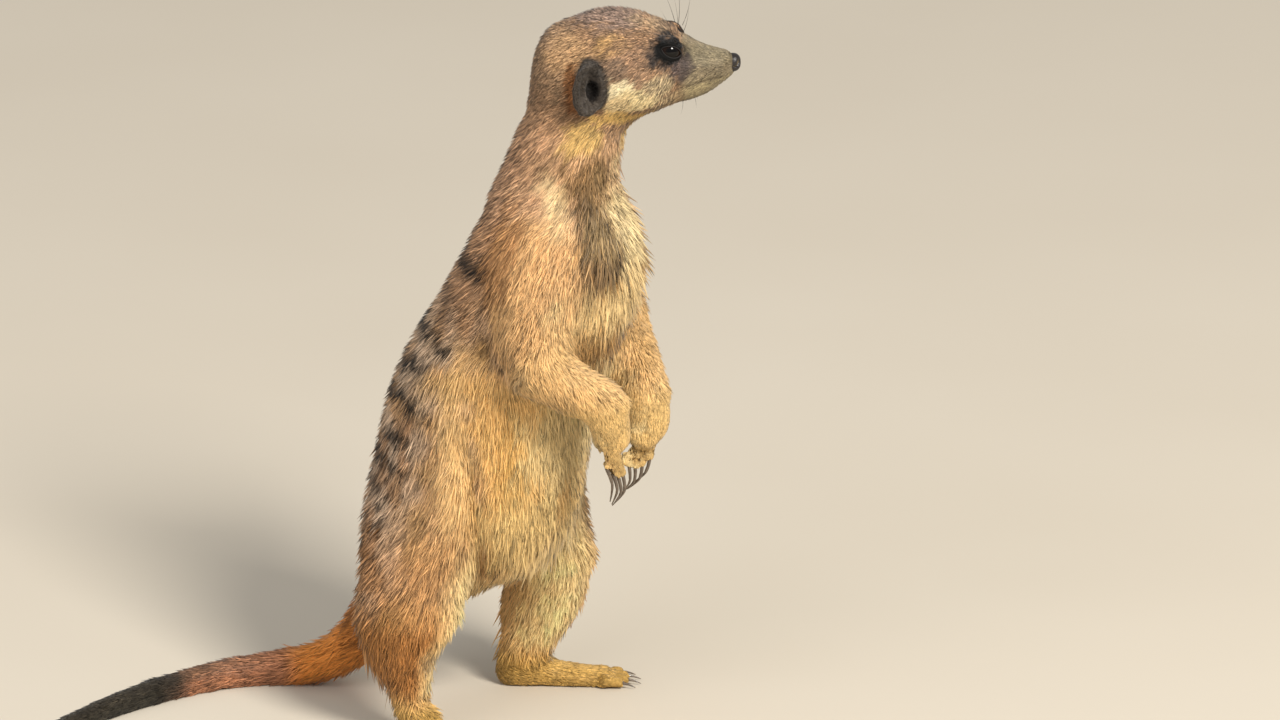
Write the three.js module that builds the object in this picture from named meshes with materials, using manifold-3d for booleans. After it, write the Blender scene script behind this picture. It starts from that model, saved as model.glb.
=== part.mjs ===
// A meerkat standing upright on its hind legs, life size, as a museum shows it: a still model with no joints.
// Millimetres, +Z up, the trunk faces +X, and +Y is the animal's left. The floor is z = 0.
// The body is one smooth form made of blended ovals, out to the tips of the coat. It is divided where a
// person would name its parts, and neighbours keep a thin gap between them.
import * as THREE from "three";
import { mergeVertices } from "three/addons/utils/BufferGeometryUtils.js";
import Module from "manifold-3d";

const wasm = await Module();
wasm.setup();

// ---- Driving dimensions ----
const GAP = 0.3; // between two parts that meet
const SOLE = 0.8; // how far soles and tail reach below the floor before they are cut flat
const BLEND = { body: 9, limb: 6, brow: 4 }; // how widely one form runs into the next
const HEAD = { turn: THREE.MathUtils.degToRad(30), centre: [68, 7.4, 271.6] };
const EYE = { radius: 5.2, ahead: 21.6, out: 11.2, up: 7.2 };
const EAR = { ahead: -7.7, out: 22, up: -7, tall: 10.8, wide: 6.6, thick: 3.6, rim: 1.5 };
const NOSE = { ahead: 46.8, up: -0.8, long: 2.7, wide: 3.4, tall: 3.4 };
const CLAW = { fore: 11.5, hind: 6.5 };
const LEFT = new THREE.Vector3(0, 1, 0);
const UP = new THREE.Vector3(0, 0, 1);

const FUR = { name: "coat", color: 0xb98f5c, roughness: 0.9, metalness: 0 };
const DARK = { name: "dark_skin", color: 0x3a322c, roughness: 0.7, metalness: 0 };
const HORN = { name: "claw", color: 0x4b423a, roughness: 0.4, metalness: 0 };
const EYEBALL = { name: "eye", color: 0x1c120b, roughness: 0.1, metalness: 0 };

// ---- The animal: oval sections from the root of each form to its end ----
// Each has its centre, its half width, and its half depths in front and behind.
const TRUNK = [
  { at: [-4, 0, 57], wide: 24, fore: 17, aft: 18 },
  { at: [2, 0, 70], wide: 34, fore: 27, aft: 29 },
  { at: [9, 0, 86], wide: 39, fore: 39, aft: 36 },
  { at: [13, 0, 108], wide: 41, fore: 41, aft: 39 },
  { at: [19.5, 0, 134], wide: 39, fore: 40.5, aft: 37 },
  { at: [32, 0, 162], wide: 36, fore: 38, aft: 32 },
  { at: [45, 0, 190], wide: 34, fore: 36, aft: 30 },
  { at: [49, 0, 208], wide: 28, fore: 32, aft: 26 },
];
const NECK = [
  { at: [47, 0, 204], wide: 25, deep: 25 },
  { at: [48.8, 0.5, 222], wide: 20.5, deep: 22.5 },
  { at: [53.5, 2.5, 240], wide: 19, deep: 20.5 },
  { at: [58, 4.5, 258], wide: 18, deep: 19.5 },
];
const TAIL = [
  { at: [-16, 0, 60], wide: 14, deep: 15 },
  { at: [-30, 0, 39], wide: 12, deep: 12 },
  { at: [-44, 0, 20.5], wide: 10, deep: 10.2 },
  { at: [-60, -2, 9.6], wide: 8.6, deep: 8.8 },
  { at: [-77, -9, 7 - SOLE], wide: 7, deep: 7 },
  { at: [-92, -26, 6 - SOLE], wide: 6, deep: 6 },
  { at: [-102, -49, 5.2 - SOLE], wide: 5.2, deep: 5.2 },
  { at: [-109, -80, 4.4 - SOLE], wide: 4.4, deep: 4.4 },
  { at: [-113, -116, 3.4 - SOLE], wide: 3, deep: 3.4 },
];
// In the head's own frame: ahead, left, up. Here fore is the chin's side and aft the crown's.
const SKULL = [
  { ahead: -15, up: -1.5, wide: 17, fore: 17, aft: 16.6 },
  { ahead: -5, up: -1.5, wide: 21.5, fore: 21, aft: 20.6 },
  { ahead: 7, up: -1.8, wide: 21, fore: 20.4, aft: 20.6 },
  { ahead: 18, up: -2.2, wide: 17, fore: 18.4, aft: 17 },
  { ahead: 26, up: -2.9, wide: 12.4, fore: 15, aft: 12.6 },
  { ahead: 33, up: -3.4, wide: 9.6, fore: 11.8, aft: 9.8 },
  { ahead: 39.4, up: -2.9, wide: 7.6, fore: 8, aft: 7.6 },
  { ahead: 44.4, up: -1.9, wide: 5.8, fore: 4.9, aft: 5.5 },
];
const LIMBS = {
  left: {
    s: 1,
    upperArm: [
      { at: [50, 20, 199], wide: 12, deep: 16 },
      { at: [53, 28, 178], wide: 11.5, deep: 14 },
      { at: [55, 31, 161], wide: 10.5, deep: 12 },
    ],
    forearm: [
      { at: [56, 31, 158], wide: 10.5, deep: 11.5 },
      { at: [68, 24, 147.5], wide: 9.8, deep: 11.2 },
      { at: [79, 16, 138], wide: 8.6, deep: 8.8 },
    ],
    hand: { wrist: [79, 16, 139], palm: [80.6, 15, 126], knuckles: [78.8, 14, 116] },
    fingers: { across: [0.62, 0.78, 0.26], hook: [-0.78, 0.5, 0] },
    thigh: [
      { at: [9, 20, 97], wide: 17, deep: 30 },
      { at: [15, 32, 78], wide: 17, deep: 26 },
      { at: [20, 39, 60], wide: 15, deep: 17.8 },
    ],
    shank: [
      { at: [20, 42, 57], wide: 14, deep: 16.4 },
      { at: [16.5, 43, 41], wide: 12.5, fore: 19.2, aft: 17 },
      { at: [11, 41.5, 26], wide: 9.6, fore: 17.6, aft: 14 },
      { at: [4.5, 39, 12], wide: 7.4, fore: 10.4, aft: 9 },
    ],
    foot: { heel: [1, 38], out: THREE.MathUtils.degToRad(32) },
  },
  right: {
    s: -1,
    upperArm: [
      { at: [54, -22, 197], wide: 12, deep: 16 },
      { at: [56, -30, 178], wide: 11.5, deep: 15 },
      { at: [57, -34, 160], wide: 11, deep: 12.5 },
    ],
    forearm: [
      { at: [58, -34, 157], wide: 11, deep: 11.5 },
      { at: [72, -26, 149], wide: 9.8, deep: 10.4 },
      { at: [82, -16, 142], wide: 8.6, deep: 8.8 },
    ],
    hand: { wrist: [81, -16, 143], palm: [82, -15, 131], knuckles: [82.8, -13.8, 121] },
    fingers: { across: [-0.3, -0.85, 0.42], hook: [-0.7, 0.25, -0.6] },
    thigh: [
      { at: [2, -18, 92], wide: 17, deep: 28 },
      { at: [3, -31, 74], wide: 17, deep: 24 },
      { at: [6, -38, 58], wide: 16, deep: 21 },
    ],
    shank: [
      { at: [6, -40, 54], wide: 15, deep: 20.5 },
      { at: [3, -41, 40], wide: 13.5, deep: 19 },
      { at: [5, -40, 27], wide: 10, deep: 11.8 },
      { at: [9, -39.5, 13], wide: 7.2, deep: 8.2 },
    ],
    foot: { heel: [7, -39], out: THREE.MathUtils.degToRad(-17) },
  },
};
// Half width and half height of a foot along its length.
const FOOT = [
  { ahead: 0, wide: 6.6, half: 7 },
  { ahead: 9, wide: 7, half: 6.6 },
  { ahead: 20, wide: 7, half: 4.9 },
  { ahead: 31, wide: 8, half: 4 },
  { ahead: 38, wide: 8.2, half: 3.3 },
];

// ---- Curves and frames ----
const headPlace = new THREE.Matrix4().makeRotationZ(HEAD.turn).setPosition(...HEAD.centre);
const inHead = (ahead, left, up) => new THREE.Vector3(ahead, left, up).applyMatrix4(headPlace);
const headWay = (ahead, left, up) => new THREE.Vector3(ahead, left, up).transformDirection(headPlace);
const shift = (place, x, y, z) => place.clone().multiply(new THREE.Matrix4().makeTranslation(x, y, z));

// The stations of a bent form: where each is, which ways its axes point and how far it reaches along them.
function stationsOf(sections, side, count) {
  const centres = sections.map((s) => new THREE.Vector3(...s.at));
  const sizes = sections.map((s) => new THREE.Vector3(s.wide, s.fore ?? s.deep, s.aft ?? s.deep));
  const path = new THREE.CatmullRomCurve3(centres, false, "catmullrom", 0.5);
  const size = new THREE.CatmullRomCurve3(sizes, false, "catmullrom", 0.5);
  return Array.from({ length: count + 1 }, (_, i) => {
    const along = path.getTangent(i / count);
    const across = side.clone().addScaledVector(along, -side.dot(along)).normalize();
    const { x: wide, y: fore, z: aft } = size.getPoint(i / count);
    const front = across.clone().cross(along);
    return { centre: path.getPoint(i / count), along, across, front, wide, fore, aft };
  });
}

// ---- Fields: a form as a function of a point, negative inside, in about millimetres ----
function bent(sections, { side = LEFT, dome = [0.9, 0.9] } = {}) {
  const stations = stationsOf(sections, side, (sections.length - 1) * 4);
  const lengths = [stations[0], stations.at(-1)].map((s, i) => (dome[i] * (s.wide + s.fore + s.aft)) / 3);
  const mix = THREE.MathUtils.lerp;
  const step = new THREE.Vector3();
  const away = new THREE.Vector3();
  return (p) => {
    let best = Infinity;
    let [at, t] = [0, 0];
    for (let i = 0; i + 1 < stations.length; i++) {
      const from = stations[i].centre;
      step.subVectors(stations[i + 1].centre, from);
      away.subVectors(p, from);
      const share = THREE.MathUtils.clamp(away.dot(step) / step.lengthSq(), 0, 1);
      const distance = away.addScaledVector(step, -share).lengthSq();
      if (distance < best) [best, at, t] = [distance, i, share];
    }
    const [a, b] = [stations[at], stations[at + 1]];
    away.copy(p).sub(a.centre).addScaledVector(step.subVectors(b.centre, a.centre), -t);
    const x = mix(away.dot(a.across), away.dot(b.across), t);
    const y = mix(away.dot(a.front), away.dot(b.front), t);
    const past = [at === 0 && t === 0, at === stations.length - 2 && t === 1].indexOf(true);
    const z = past < 0 ? 0 : mix(away.dot(a.along), away.dot(b.along), t) / lengths[past];
    const depth = y > 0 ? mix(a.fore, b.fore, t) : mix(a.aft, b.aft, t);
    const reach = Math.hypot(x / mix(a.wide, b.wide, t), y / depth, z);
    return reach < 1e-3 ? -depth : away.length() * (1 - 1 / reach);
  };
}

function oval(place, halves) {
  const back = place.clone().invert();
  const local = new THREE.Vector3();
  return (p) => {
    local.copy(p).applyMatrix4(back);
    const reach = Math.hypot(...local.toArray().map((x, i) => x / halves[i]));
    return reach < 1e-3 ? -Math.min(...halves) : local.length() * (1 - 1 / reach);
  };
}

function blend(a, b, width) {
  const near = Math.max(width - Math.abs(a - b), 0) / width;
  return Math.min(a, b) - (near * near * width) / 4;
}

const bothSides = (make) => [1, -1].map(make);
const headSections = SKULL.map(({ ahead, up, ...size }) => ({ at: inHead(ahead, 0, up).toArray(), ...size }));
const footWay = ({ foot }) => new THREE.Vector3(Math.cos(foot.out), Math.sin(foot.out), 0);
const footSections = (limb) =>
  FOOT.map(({ ahead, wide, half }) => {
    const centre = footWay(limb).multiplyScalar(ahead);
    return { at: [limb.foot.heel[0] + centre.x, limb.foot.heel[1] + centre.y, half - SOLE], wide, deep: half };
  });
const handSections = ({ hand }) => [
  { at: hand.wrist, wide: 8.2, deep: 7.6 },
  { at: hand.palm, wide: 8.7, deep: 6.6 },
  { at: hand.knuckles, wide: 7.2, deep: 4.6 },
];
const handAcross = ({ fingers }) => new THREE.Vector3(...fingers.across).normalize();
const footAcross = (limb) => UP.clone().cross(footWay(limb));

// The forms of the body, each with how widely it blends into those before it.
const CORE = [
  [bent(TRUNK, { dome: [0.5, 0.5] }), BLEND.body],
  [bent(NECK, { dome: [0.4, 0.4] }), BLEND.body],
  [bent(headSections, { side: headWay(0, 1, 0), dome: [0.85, 0.7] }), BLEND.body],
  ...bothSides((s) => [oval(shift(headPlace, 17, s * 9, 5.6), [9, 6, 4.8]), BLEND.brow]),
  ...bothSides((s) => [oval(shift(headPlace, 10, s * 14, -8), [12, 8, 9]), BLEND.limb]),
];
const TAIL_SHAPE = { side: UP, dome: [0.4, 2] };
const TAIL_FORM = [bent(TAIL, TAIL_SHAPE), BLEND.body];
const UPPER = Object.values(LIMBS).flatMap((limb) => [
  [bent(limb.upperArm, { dome: [0.7, 0.8] }), BLEND.limb],
  [bent(limb.thigh, { dome: [0.5, 0.8] }), BLEND.body],
]);
const perSide = (make) => Object.fromEntries(Object.entries(LIMBS).map(([side, limb]) => [side, make(limb)]));
const ARMS = perSide((limb) => [
  [bent(limb.forearm, { dome: [0.8, 0.5] }), BLEND.limb],
  [bent(handSections(limb), { side: handAcross(limb), dome: [0.5, 0.25] }), BLEND.brow],
]);
const FEET = perSide((limb) => [
  [bent(limb.shank, { dome: [0.6, 0.4] }), BLEND.body],
  [bent(footSections(limb), { side: footAcross(limb), dome: [0.8, 0.5] }), BLEND.brow],
]);
const SHANKS = Object.values(FEET).map(([shank]) => shank);

// ---- Solids ----

// A closed geometry as a manifold solid, with its faces turned outwards.
function solid(points, faces) {
  const geometry = new THREE.BufferGeometry().setFromPoints(points).setIndex(faces);
  const merged = mergeVertices(geometry, 1e-4);
  const triVerts = new Uint32Array(merged.index.array);
  const vertProperties = merged.attributes.position.array;
  return new wasm.Manifold(new wasm.Mesh({ numProp: 3, vertProperties, triVerts }));
}

// Marks from low to high, a step apart. The step can be a function of the place.
function ruler(low, high, step) {
  const marks = [low];
  while (marks.at(-1) < high) marks.push(marks.at(-1) + (step.call ? step(marks.at(-1)) : step));
  return marks;
}

// The surface of the body inside a box, as one point in each cell the surface crosses. Each point is then
// moved onto the surface. The box closes the solid, so a cut should follow well inside it.
function carve([low, high], cell, forms) {
  const steps = cell.length ? cell : [cell, cell, cell];
  const body = (p) => forms.reduce((so, [form, width]) => blend(so, form(p), width), Infinity);
  const rulers = low.map((v, i) => ruler(v, high[i], steps[i]));
  const counts = rulers.map((marks) => marks.length);
  const [nx, ny, nz] = counts;
  const index = (i, j, k) => (k * ny + j) * nx + i;
  const point = (...at) => new THREE.Vector3(...rulers.map((marks, axis) => marks[at[axis]]));
  const values = new Float64Array(nx * ny * nz);
  const edge = (i, j, k) => [i, j, k].some((v, axis) => v === 0 || v === counts[axis] - 1);
  for (let k = 0; k < nz; k++) {
    for (let j = 0; j < ny; j++) {
      for (let i = 0; i < nx; i++) {
        const value = body(point(i, j, k));
        values[index(i, j, k)] = edge(i, j, k) ? Math.max(value, 2) : value;
      }
    }
  }
  const corners = [0, 1, 2, 3, 4, 5, 6, 7].map((c) => [c & 1, (c >> 1) & 1, c >> 2]);
  const points = [];
  const vertexOf = new Map();
  for (let k = 0; k + 1 < nz; k++) {
    for (let j = 0; j + 1 < ny; j++) {
      for (let i = 0; i + 1 < nx; i++) {
        const mean = new THREE.Vector3();
        let crossings = 0;
        corners.forEach((a, m) => {
          for (const axis of [1, 2, 4]) {
            if (m & axis) continue;
            const b = corners[m | axis];
            const va = values[index(i + a[0], j + a[1], k + a[2])];
            const vb = values[index(i + b[0], j + b[1], k + b[2])];
            if (va < 0 === vb < 0) continue;
            const [from, to] = [a, b].map((c) => point(i + c[0], j + c[1], k + c[2]));
            mean.add(from.lerp(to, va / (va - vb)));
            crossings++;
          }
        });
        if (!crossings) continue;
        vertexOf.set(index(i, j, k), points.length);
        points.push(settle(body, mean.divideScalar(crossings)));
      }
    }
  }
  const faces = [];
  for (let k = 0; k + 1 < nz; k++) {
    for (let j = 0; j + 1 < ny; j++) {
      for (let i = 0; i + 1 < nx; i++) {
        const here = values[index(i, j, k)] < 0;
        const rings = [
          [[1, 0, 0], [[0, 0, 0], [0, -1, 0], [0, -1, -1], [0, 0, -1]]],
          [[0, 1, 0], [[0, 0, 0], [0, 0, -1], [-1, 0, -1], [-1, 0, 0]]],
          [[0, 0, 1], [[0, 0, 0], [-1, 0, 0], [-1, -1, 0], [0, -1, 0]]],
        ];
        for (const [[di, dj, dk], ring] of rings) {
          if (here === values[index(i + di, j + dj, k + dk)] < 0) continue;
          const [a, b, c, d] = ring.map(([x, y, z]) => vertexOf.get(index(i + x, j + y, k + z)));
          const shorter = points[a].distanceToSquared(points[c]) < points[b].distanceToSquared(points[d]);
          const pair = shorter ? [[a, b, c], [a, c, d]] : [[a, b, d], [b, c, d]];
          for (const [x, y, z] of pair) faces.push(...(here ? [x, y, z] : [x, z, y]));
        }
      }
    }
  }
  return solid(points, faces);
}

// Moves a point that is near the surface onto it.
function settle(body, p) {
  const h = 0.2;
  for (let turn = 0; turn < 2; turn++) {
    const value = body(p);
    if (Math.abs(value) > 2.5) return p;
    const slope = new THREE.Vector3(
      body(p.clone().setX(p.x + h)) - value,
      body(p.clone().setY(p.y + h)) - value,
      body(p.clone().setZ(p.z + h)) - value,
    ).divideScalar(h);
    p.addScaledVector(slope, -value / Math.max(slope.lengthSq(), 0.5));
  }
  return p;
}

// A bent form as a solid of rings. Its ends close in domes.
function loft(sections, { side = LEFT, rings = 6, around = 12, dome = [0.9, 0.9], grow = 0 } = {}) {
  const stations = stationsOf(sections, side, rings);
  const points = [];
  const ring = (s, scale, push) => {
    const centre = s.centre.clone().addScaledVector(s.along, push * ((s.fore + s.aft) / 2 + grow));
    if (!scale) return points.push(centre);
    for (let i = 0; i < around; i++) {
      const angle = (2 * Math.PI * i) / around;
      const depth = Math.sin(angle) > 0 ? s.fore : s.aft;
      const out = s.across.clone().multiplyScalar(Math.cos(angle) * (s.wide + grow) * scale);
      points.push(out.addScaledVector(s.front, Math.sin(angle) * (depth + grow) * scale).add(centre));
    }
  };
  const [first, last] = [stations[0], stations.at(-1)];
  ring(first, 0, -dome[0]);
  ring(first, 0.7, -dome[0] * 0.7);
  for (const s of stations) ring(s, 1, 0);
  ring(last, 0.7, dome[1] * 0.7);
  ring(last, 0, dome[1]);
  const count = (points.length - 2) / around;
  const faces = [];
  for (let i = 0; i < around; i++) {
    const j = (i + 1) % around;
    for (let r = 0; r + 1 < count; r++) {
      const [a, b, c, d] = [r * around + i, r * around + j, (r + 1) * around + j, (r + 1) * around + i];
      faces.push(a + 1, c + 1, b + 1, a + 1, d + 1, c + 1);
    }
    const end = (count - 1) * around + 1;
    faces.push(0, i + 1, j + 1, points.length - 1, end + j, end + i);
  }
  return solid(points, faces);
}

// A ball stretched to half sizes and set in place by a matrix.
function ball(halves, place, [around, rings] = [14, 9]) {
  const geometry = new THREE.SphereGeometry(1, around, rings).scale(...halves).applyMatrix4(place);
  geometry.deleteAttribute("normal");
  geometry.deleteAttribute("uv");
  const merged = mergeVertices(geometry, 1e-4);
  const points = [];
  for (let i = 0; i < merged.attributes.position.count; i++) {
    points.push(new THREE.Vector3().fromBufferAttribute(merged.attributes.position, i));
  }
  const faces = [...merged.index.array];
  const kept = [];
  for (let i = 0; i < faces.length; i += 3) {
    const [a, b, c] = faces.slice(i, i + 3);
    if (a !== b && b !== c && c !== a) kept.push(a, b, c);
  }
  return solid(points, kept);
}

// A block that fills everything on the far side of a plane, to cut with.
function beyond(point, normal) {
  const far = 500;
  const turn = new THREE.Quaternion().setFromUnitVectors(UP, normal.clone().normalize());
  const place = new THREE.Matrix4().compose(new THREE.Vector3(...point), turn, new THREE.Vector3(1, 1, 1));
  const corners = [-far, far].flatMap((x) => [-far, far].flatMap((y) => [0, far].map((z) => [x, y, z])));
  const faces = [
    [0, 1, 3, 2],
    [4, 6, 7, 5],
    [0, 4, 5, 1],
    [2, 3, 7, 6],
    [0, 2, 6, 4],
    [1, 5, 7, 3],
  ].flatMap(([a, b, c, d]) => [a, b, c, a, c, d]);
  return solid(corners.map((c) => new THREE.Vector3(...c).applyMatrix4(place)), faces);
}

// The largest body of a solid: a cut can leave crumbs.
const largest = (made) => made.decompose().reduce((a, b) => (b.volume() > a.volume() ? b : a));
const minus = (made, cutters) => cutters.reduce((rest, cutter) => rest.subtract(cutter), made);
const plus = (made, others) => others.reduce((all, other) => all.add(other), made);

// What of a form lies behind a plane, short of it by half the gap; and with the normal turned, beyond it.
function behind(form, [point, normal]) {
  const unit = normal.clone().normalize();
  return form.subtract(beyond(new THREE.Vector3(...point).addScaledVector(unit, -GAP / 2).toArray(), unit));
}
const ahead = (form, [point, normal]) => behind(form, [point, normal.clone().negate()]);

const FLOOR = beyond([0, 0, 0], UP.clone().negate());
const onFloor = (form) => form.subtract(FLOOR);

// ---- Ears, eyes, toes and claws ----
const eyeForm = (s, grow) =>
  ball(Array(3).fill(EYE.radius + grow), shift(headPlace, EYE.ahead, s * EYE.out, EYE.up), [10, 7]);

// The ear is a shallow cup low on the side of the head, facing out and a little forward, in a socket.
function earPlace(s) {
  const lean = new THREE.Matrix4().makeRotationFromEuler(new THREE.Euler(s * 0.1, 0.14, s * -0.3));
  return shift(headPlace, EAR.ahead, s * EAR.out, EAR.up).multiply(lean);
}
const earOutline = (s, grow) =>
  ball([EAR.wide, EAR.thick, EAR.tall].map((v) => v + grow), earPlace(s), [10, 6]);
function earForm(s) {
  const halves = [EAR.wide - EAR.rim, EAR.thick, EAR.tall - EAR.rim * 1.3];
  return earOutline(s, 0).subtract(ball(halves, shift(earPlace(s), 0.5, s * EAR.rim * 1.4, 0.6), [9, 5]));
}

const nosePlace = shift(headPlace, NOSE.ahead, 0, NOSE.up);
const noseForm = (grow) => ball([NOSE.long, NOSE.wide, NOSE.tall].map((v) => v + grow), nosePlace, [9, 6]);

// A curved claw that tapers to its tip, from its root along one way and hooking towards another.
function claw(root, along, hook, length, radius) {
  const sections = [0, 0.35, 0.7, 1].map((t) => ({
    at: root
      .clone()
      .addScaledVector(along, length * t)
      .addScaledVector(hook, length * 0.28 * t * t)
      .toArray(),
    wide: radius * (0.8 - 0.6 * t),
    deep: radius * (1 - 0.72 * t),
  }));
  const side = along.clone().cross(hook).normalize();
  return loft(sections, { side, rings: 2, around: 4, dome: [0, 0.9] });
}

// Four toes side by side at the front edge of a paw, each with its claw.
function toesOf({ base, along, across, hook, ...shape }) {
  const { spread, pitch, radius, length, drop, clawLength, clawRadius } = shape;
  return [-1.5, -0.5, 0.5, 1.5].map((place) => {
    const shorter = Math.abs(place) > 1 ? 0.8 : 1;
    const way = along.clone().addScaledVector(across, place * spread).normalize();
    const root = base.clone().addScaledVector(across, place * pitch);
    const reach = length * shorter;
    const sections = [0, 0.55, 1].map((t) => ({
      at: root.clone().addScaledVector(way, reach * t).addScaledVector(hook, drop * t * t).toArray(),
      wide: radius * (1 - 0.16 * t),
      deep: radius * (1 - 0.2 * t),
    }));
    const blunt = radius * 0.3 + GAP;
    const tip = root.clone().addScaledVector(way, reach + blunt).addScaledVector(hook, drop);
    return {
      toe: loft(sections, { side: across, rings: 2, around: 5, dome: [0.3, 0.3] }),
      claw: claw(tip, way, hook, clawLength * (0.85 + 0.15 * shorter), clawRadius),
    };
  });
}

function handToes(limb) {
  const [palm, knuckles] = [limb.hand.palm, limb.hand.knuckles].map((p) => new THREE.Vector3(...p));
  const along = knuckles.clone().sub(palm).normalize();
  const hook = new THREE.Vector3(...limb.fingers.hook).normalize();
  const shape = { spread: -0.06, pitch: 4, radius: 2.2, length: 8.8, drop: 1 };
  const claws = { clawLength: CLAW.fore, clawRadius: 1.4 };
  const base = knuckles.clone().addScaledVector(along, -1);
  return toesOf({ base, along, across: handAcross(limb), hook, ...shape, ...claws });
}

function footToes(limb) {
  const along = footWay(limb);
  const base = new THREE.Vector3(limb.foot.heel[0], limb.foot.heel[1], 2.3).addScaledVector(along, 37);
  const shape = { spread: 0.13, pitch: 4.1, radius: 2.3, length: 9.6, drop: 0.2 };
  const claws = { clawLength: CLAW.hind, clawRadius: 1.1 };
  return toesOf({ base, along, across: footAcross(limb), hook: UP.clone().negate(), ...shape, ...claws });
}

// ---- The parts ----
const group = new THREE.Group();
const materials = new Map();

// The surface of a solid with its points on a fine grid. Points that meet there become one, and faces
// that collapse or fold flat onto each other go.
function weld(made, grid = 0.01) {
  const { numProp, numVert, vertProperties, triVerts } = made.getMesh();
  const seen = new Map();
  const points = [];
  const indexOf = Array.from({ length: numVert }, (_, i) => {
    const at = [0, 1, 2].map((axis) => Math.round(vertProperties[i * numProp + axis] / grid));
    const key = at.join();
    if (!seen.has(key)) seen.set(key, points.push(...at.map((v) => v * grid)) / 3 - 1);
    return seen.get(key);
  });
  const faces = new Map();
  for (let i = 0; i < triVerts.length; i += 3) {
    const face = [0, 1, 2].map((k) => indexOf[triVerts[i + k]]);
    if (new Set(face).size < 3) continue;
    const key = face.toSorted((a, b) => a - b).join();
    if (!faces.delete(key)) faces.set(key, face);
  }
  return { points, faces: [...faces.values()].flat() };
}

function add(name, made, look) {
  if (!materials.has(look.name)) materials.set(look.name, new THREE.MeshStandardMaterial(look));
  const { points, faces } = weld(largest(made));
  const geometry = new THREE.BufferGeometry().setIndex(faces);
  geometry.setAttribute("position", new THREE.Float32BufferAttribute(points, 3));
  geometry.computeVertexNormals();
  const part = new THREE.Mesh(geometry, materials.get(look.name));
  part.name = name;
  group.add(part);
}

// Planes between neighbours along the body: a point and the way to the upper or farther one.
const CUT = {
  neckHead: [[57, 4, 247], new THREE.Vector3(0.1, 0.1, 1)],
  chestNeck: [[47, 0, 208], new THREE.Vector3(0.12, 0, 1)],
  bellyChest: [[31, 0, 158], new THREE.Vector3(0.38, 0, 0.92)],
  rumpBelly: [[8, 0, 88], new THREE.Vector3(0.15, 0, 1)],
  tailBase: [[-32, 0, 42], new THREE.Vector3(-0.75, 0, -0.6)],
  tailMiddle: [[-72, -6, 8], new THREE.Vector3(-0.8, -0.6, 0)],
  tailTip: [[-103, -52, 4], new THREE.Vector3(-0.3, -1, 0)],
};

// Head.
const HEAD_BOX = [[30, -30, 234], [118, 48, 300]];
const headBody = ahead(carve(HEAD_BOX, 5.6, CORE), CUT.neckHead);
const eyes = bothSides((s) => eyeForm(s, GAP));
const sockets = bothSides((s) => earOutline(s, GAP));
const wholeHead = minus(headBody, [...eyes, ...sockets, noseForm(GAP)]);
const faceCut = [inHead(27, 0, 0).toArray(), headWay(1, 0, 0)];
const mouthCut = [inHead(40, 0, -5.8).toArray(), headWay(0.2, 0, -0.98)];
const face = largest(ahead(wholeHead, faceCut));
add("head", behind(wholeHead, faceCut), FUR);
add("muzzle", behind(face, mouthCut), FUR);
add("lower_jaw", ahead(face, mouthCut), FUR);
add("nose", noseForm(0), DARK);
for (const [side, s] of [["left", 1], ["right", -1]]) {
  add("eye_" + side, eyeForm(s, 0), EYEBALL);
  add("ear_" + side, earForm(s), DARK);
}

// Limbs: each is what of the body lies within its own outline. The outline of a limb that lies along the
// trunk is drawn from the side and runs out from a plane within the body, so that it is cut squarely.
const SPREAD = 2; // how far a limb's outline stands off its form, to take in where it blends
function fromTheSide(sections, s, inner, grow) {
  const broad = sections.map((section) => ({ ...section, wide: 60 }));
  const outline = loft(broad, { rings: sections.length, around: 8, dome: [0.8, 0.8], grow: SPREAD + grow });
  return outline.intersect(beyond([0, s * (inner - grow), 0], LEFT.clone().multiplyScalar(s)));
}
const armOutline = ({ s, upperArm, forearm, hand }, grow) =>
  fromTheSide(upperArm, s, 19, grow)
    .add(loft(forearm, { rings: 3, around: 8, dome: [0.8, 0.9], grow: SPREAD + grow }))
    .add(ball([17, 17, 28], new THREE.Matrix4().makeTranslation(...hand.palm), [8, 6]));
const legOutline = ({ s, thigh, shank }, grow) =>
  fromTheSide(thigh, s, 12, grow).add(fromTheSide(shank, s, 12, grow));
const TRUNK_BOX = [[-48, -63, 3], [102, 62, 262]];
const TRUNK_CELL = [9.6, 9.6, (z) => (z < 50 ? 6.4 : 11)];
const whole = carve(TRUNK_BOX, TRUNK_CELL, [...CORE, ...UPPER, ...SHANKS, TAIL_FORM]);
const outlines = Object.values(LIMBS).flatMap((limb) => [armOutline(limb, GAP), legOutline(limb, GAP)]);
const trunk = minus(whole, outlines);
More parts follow.
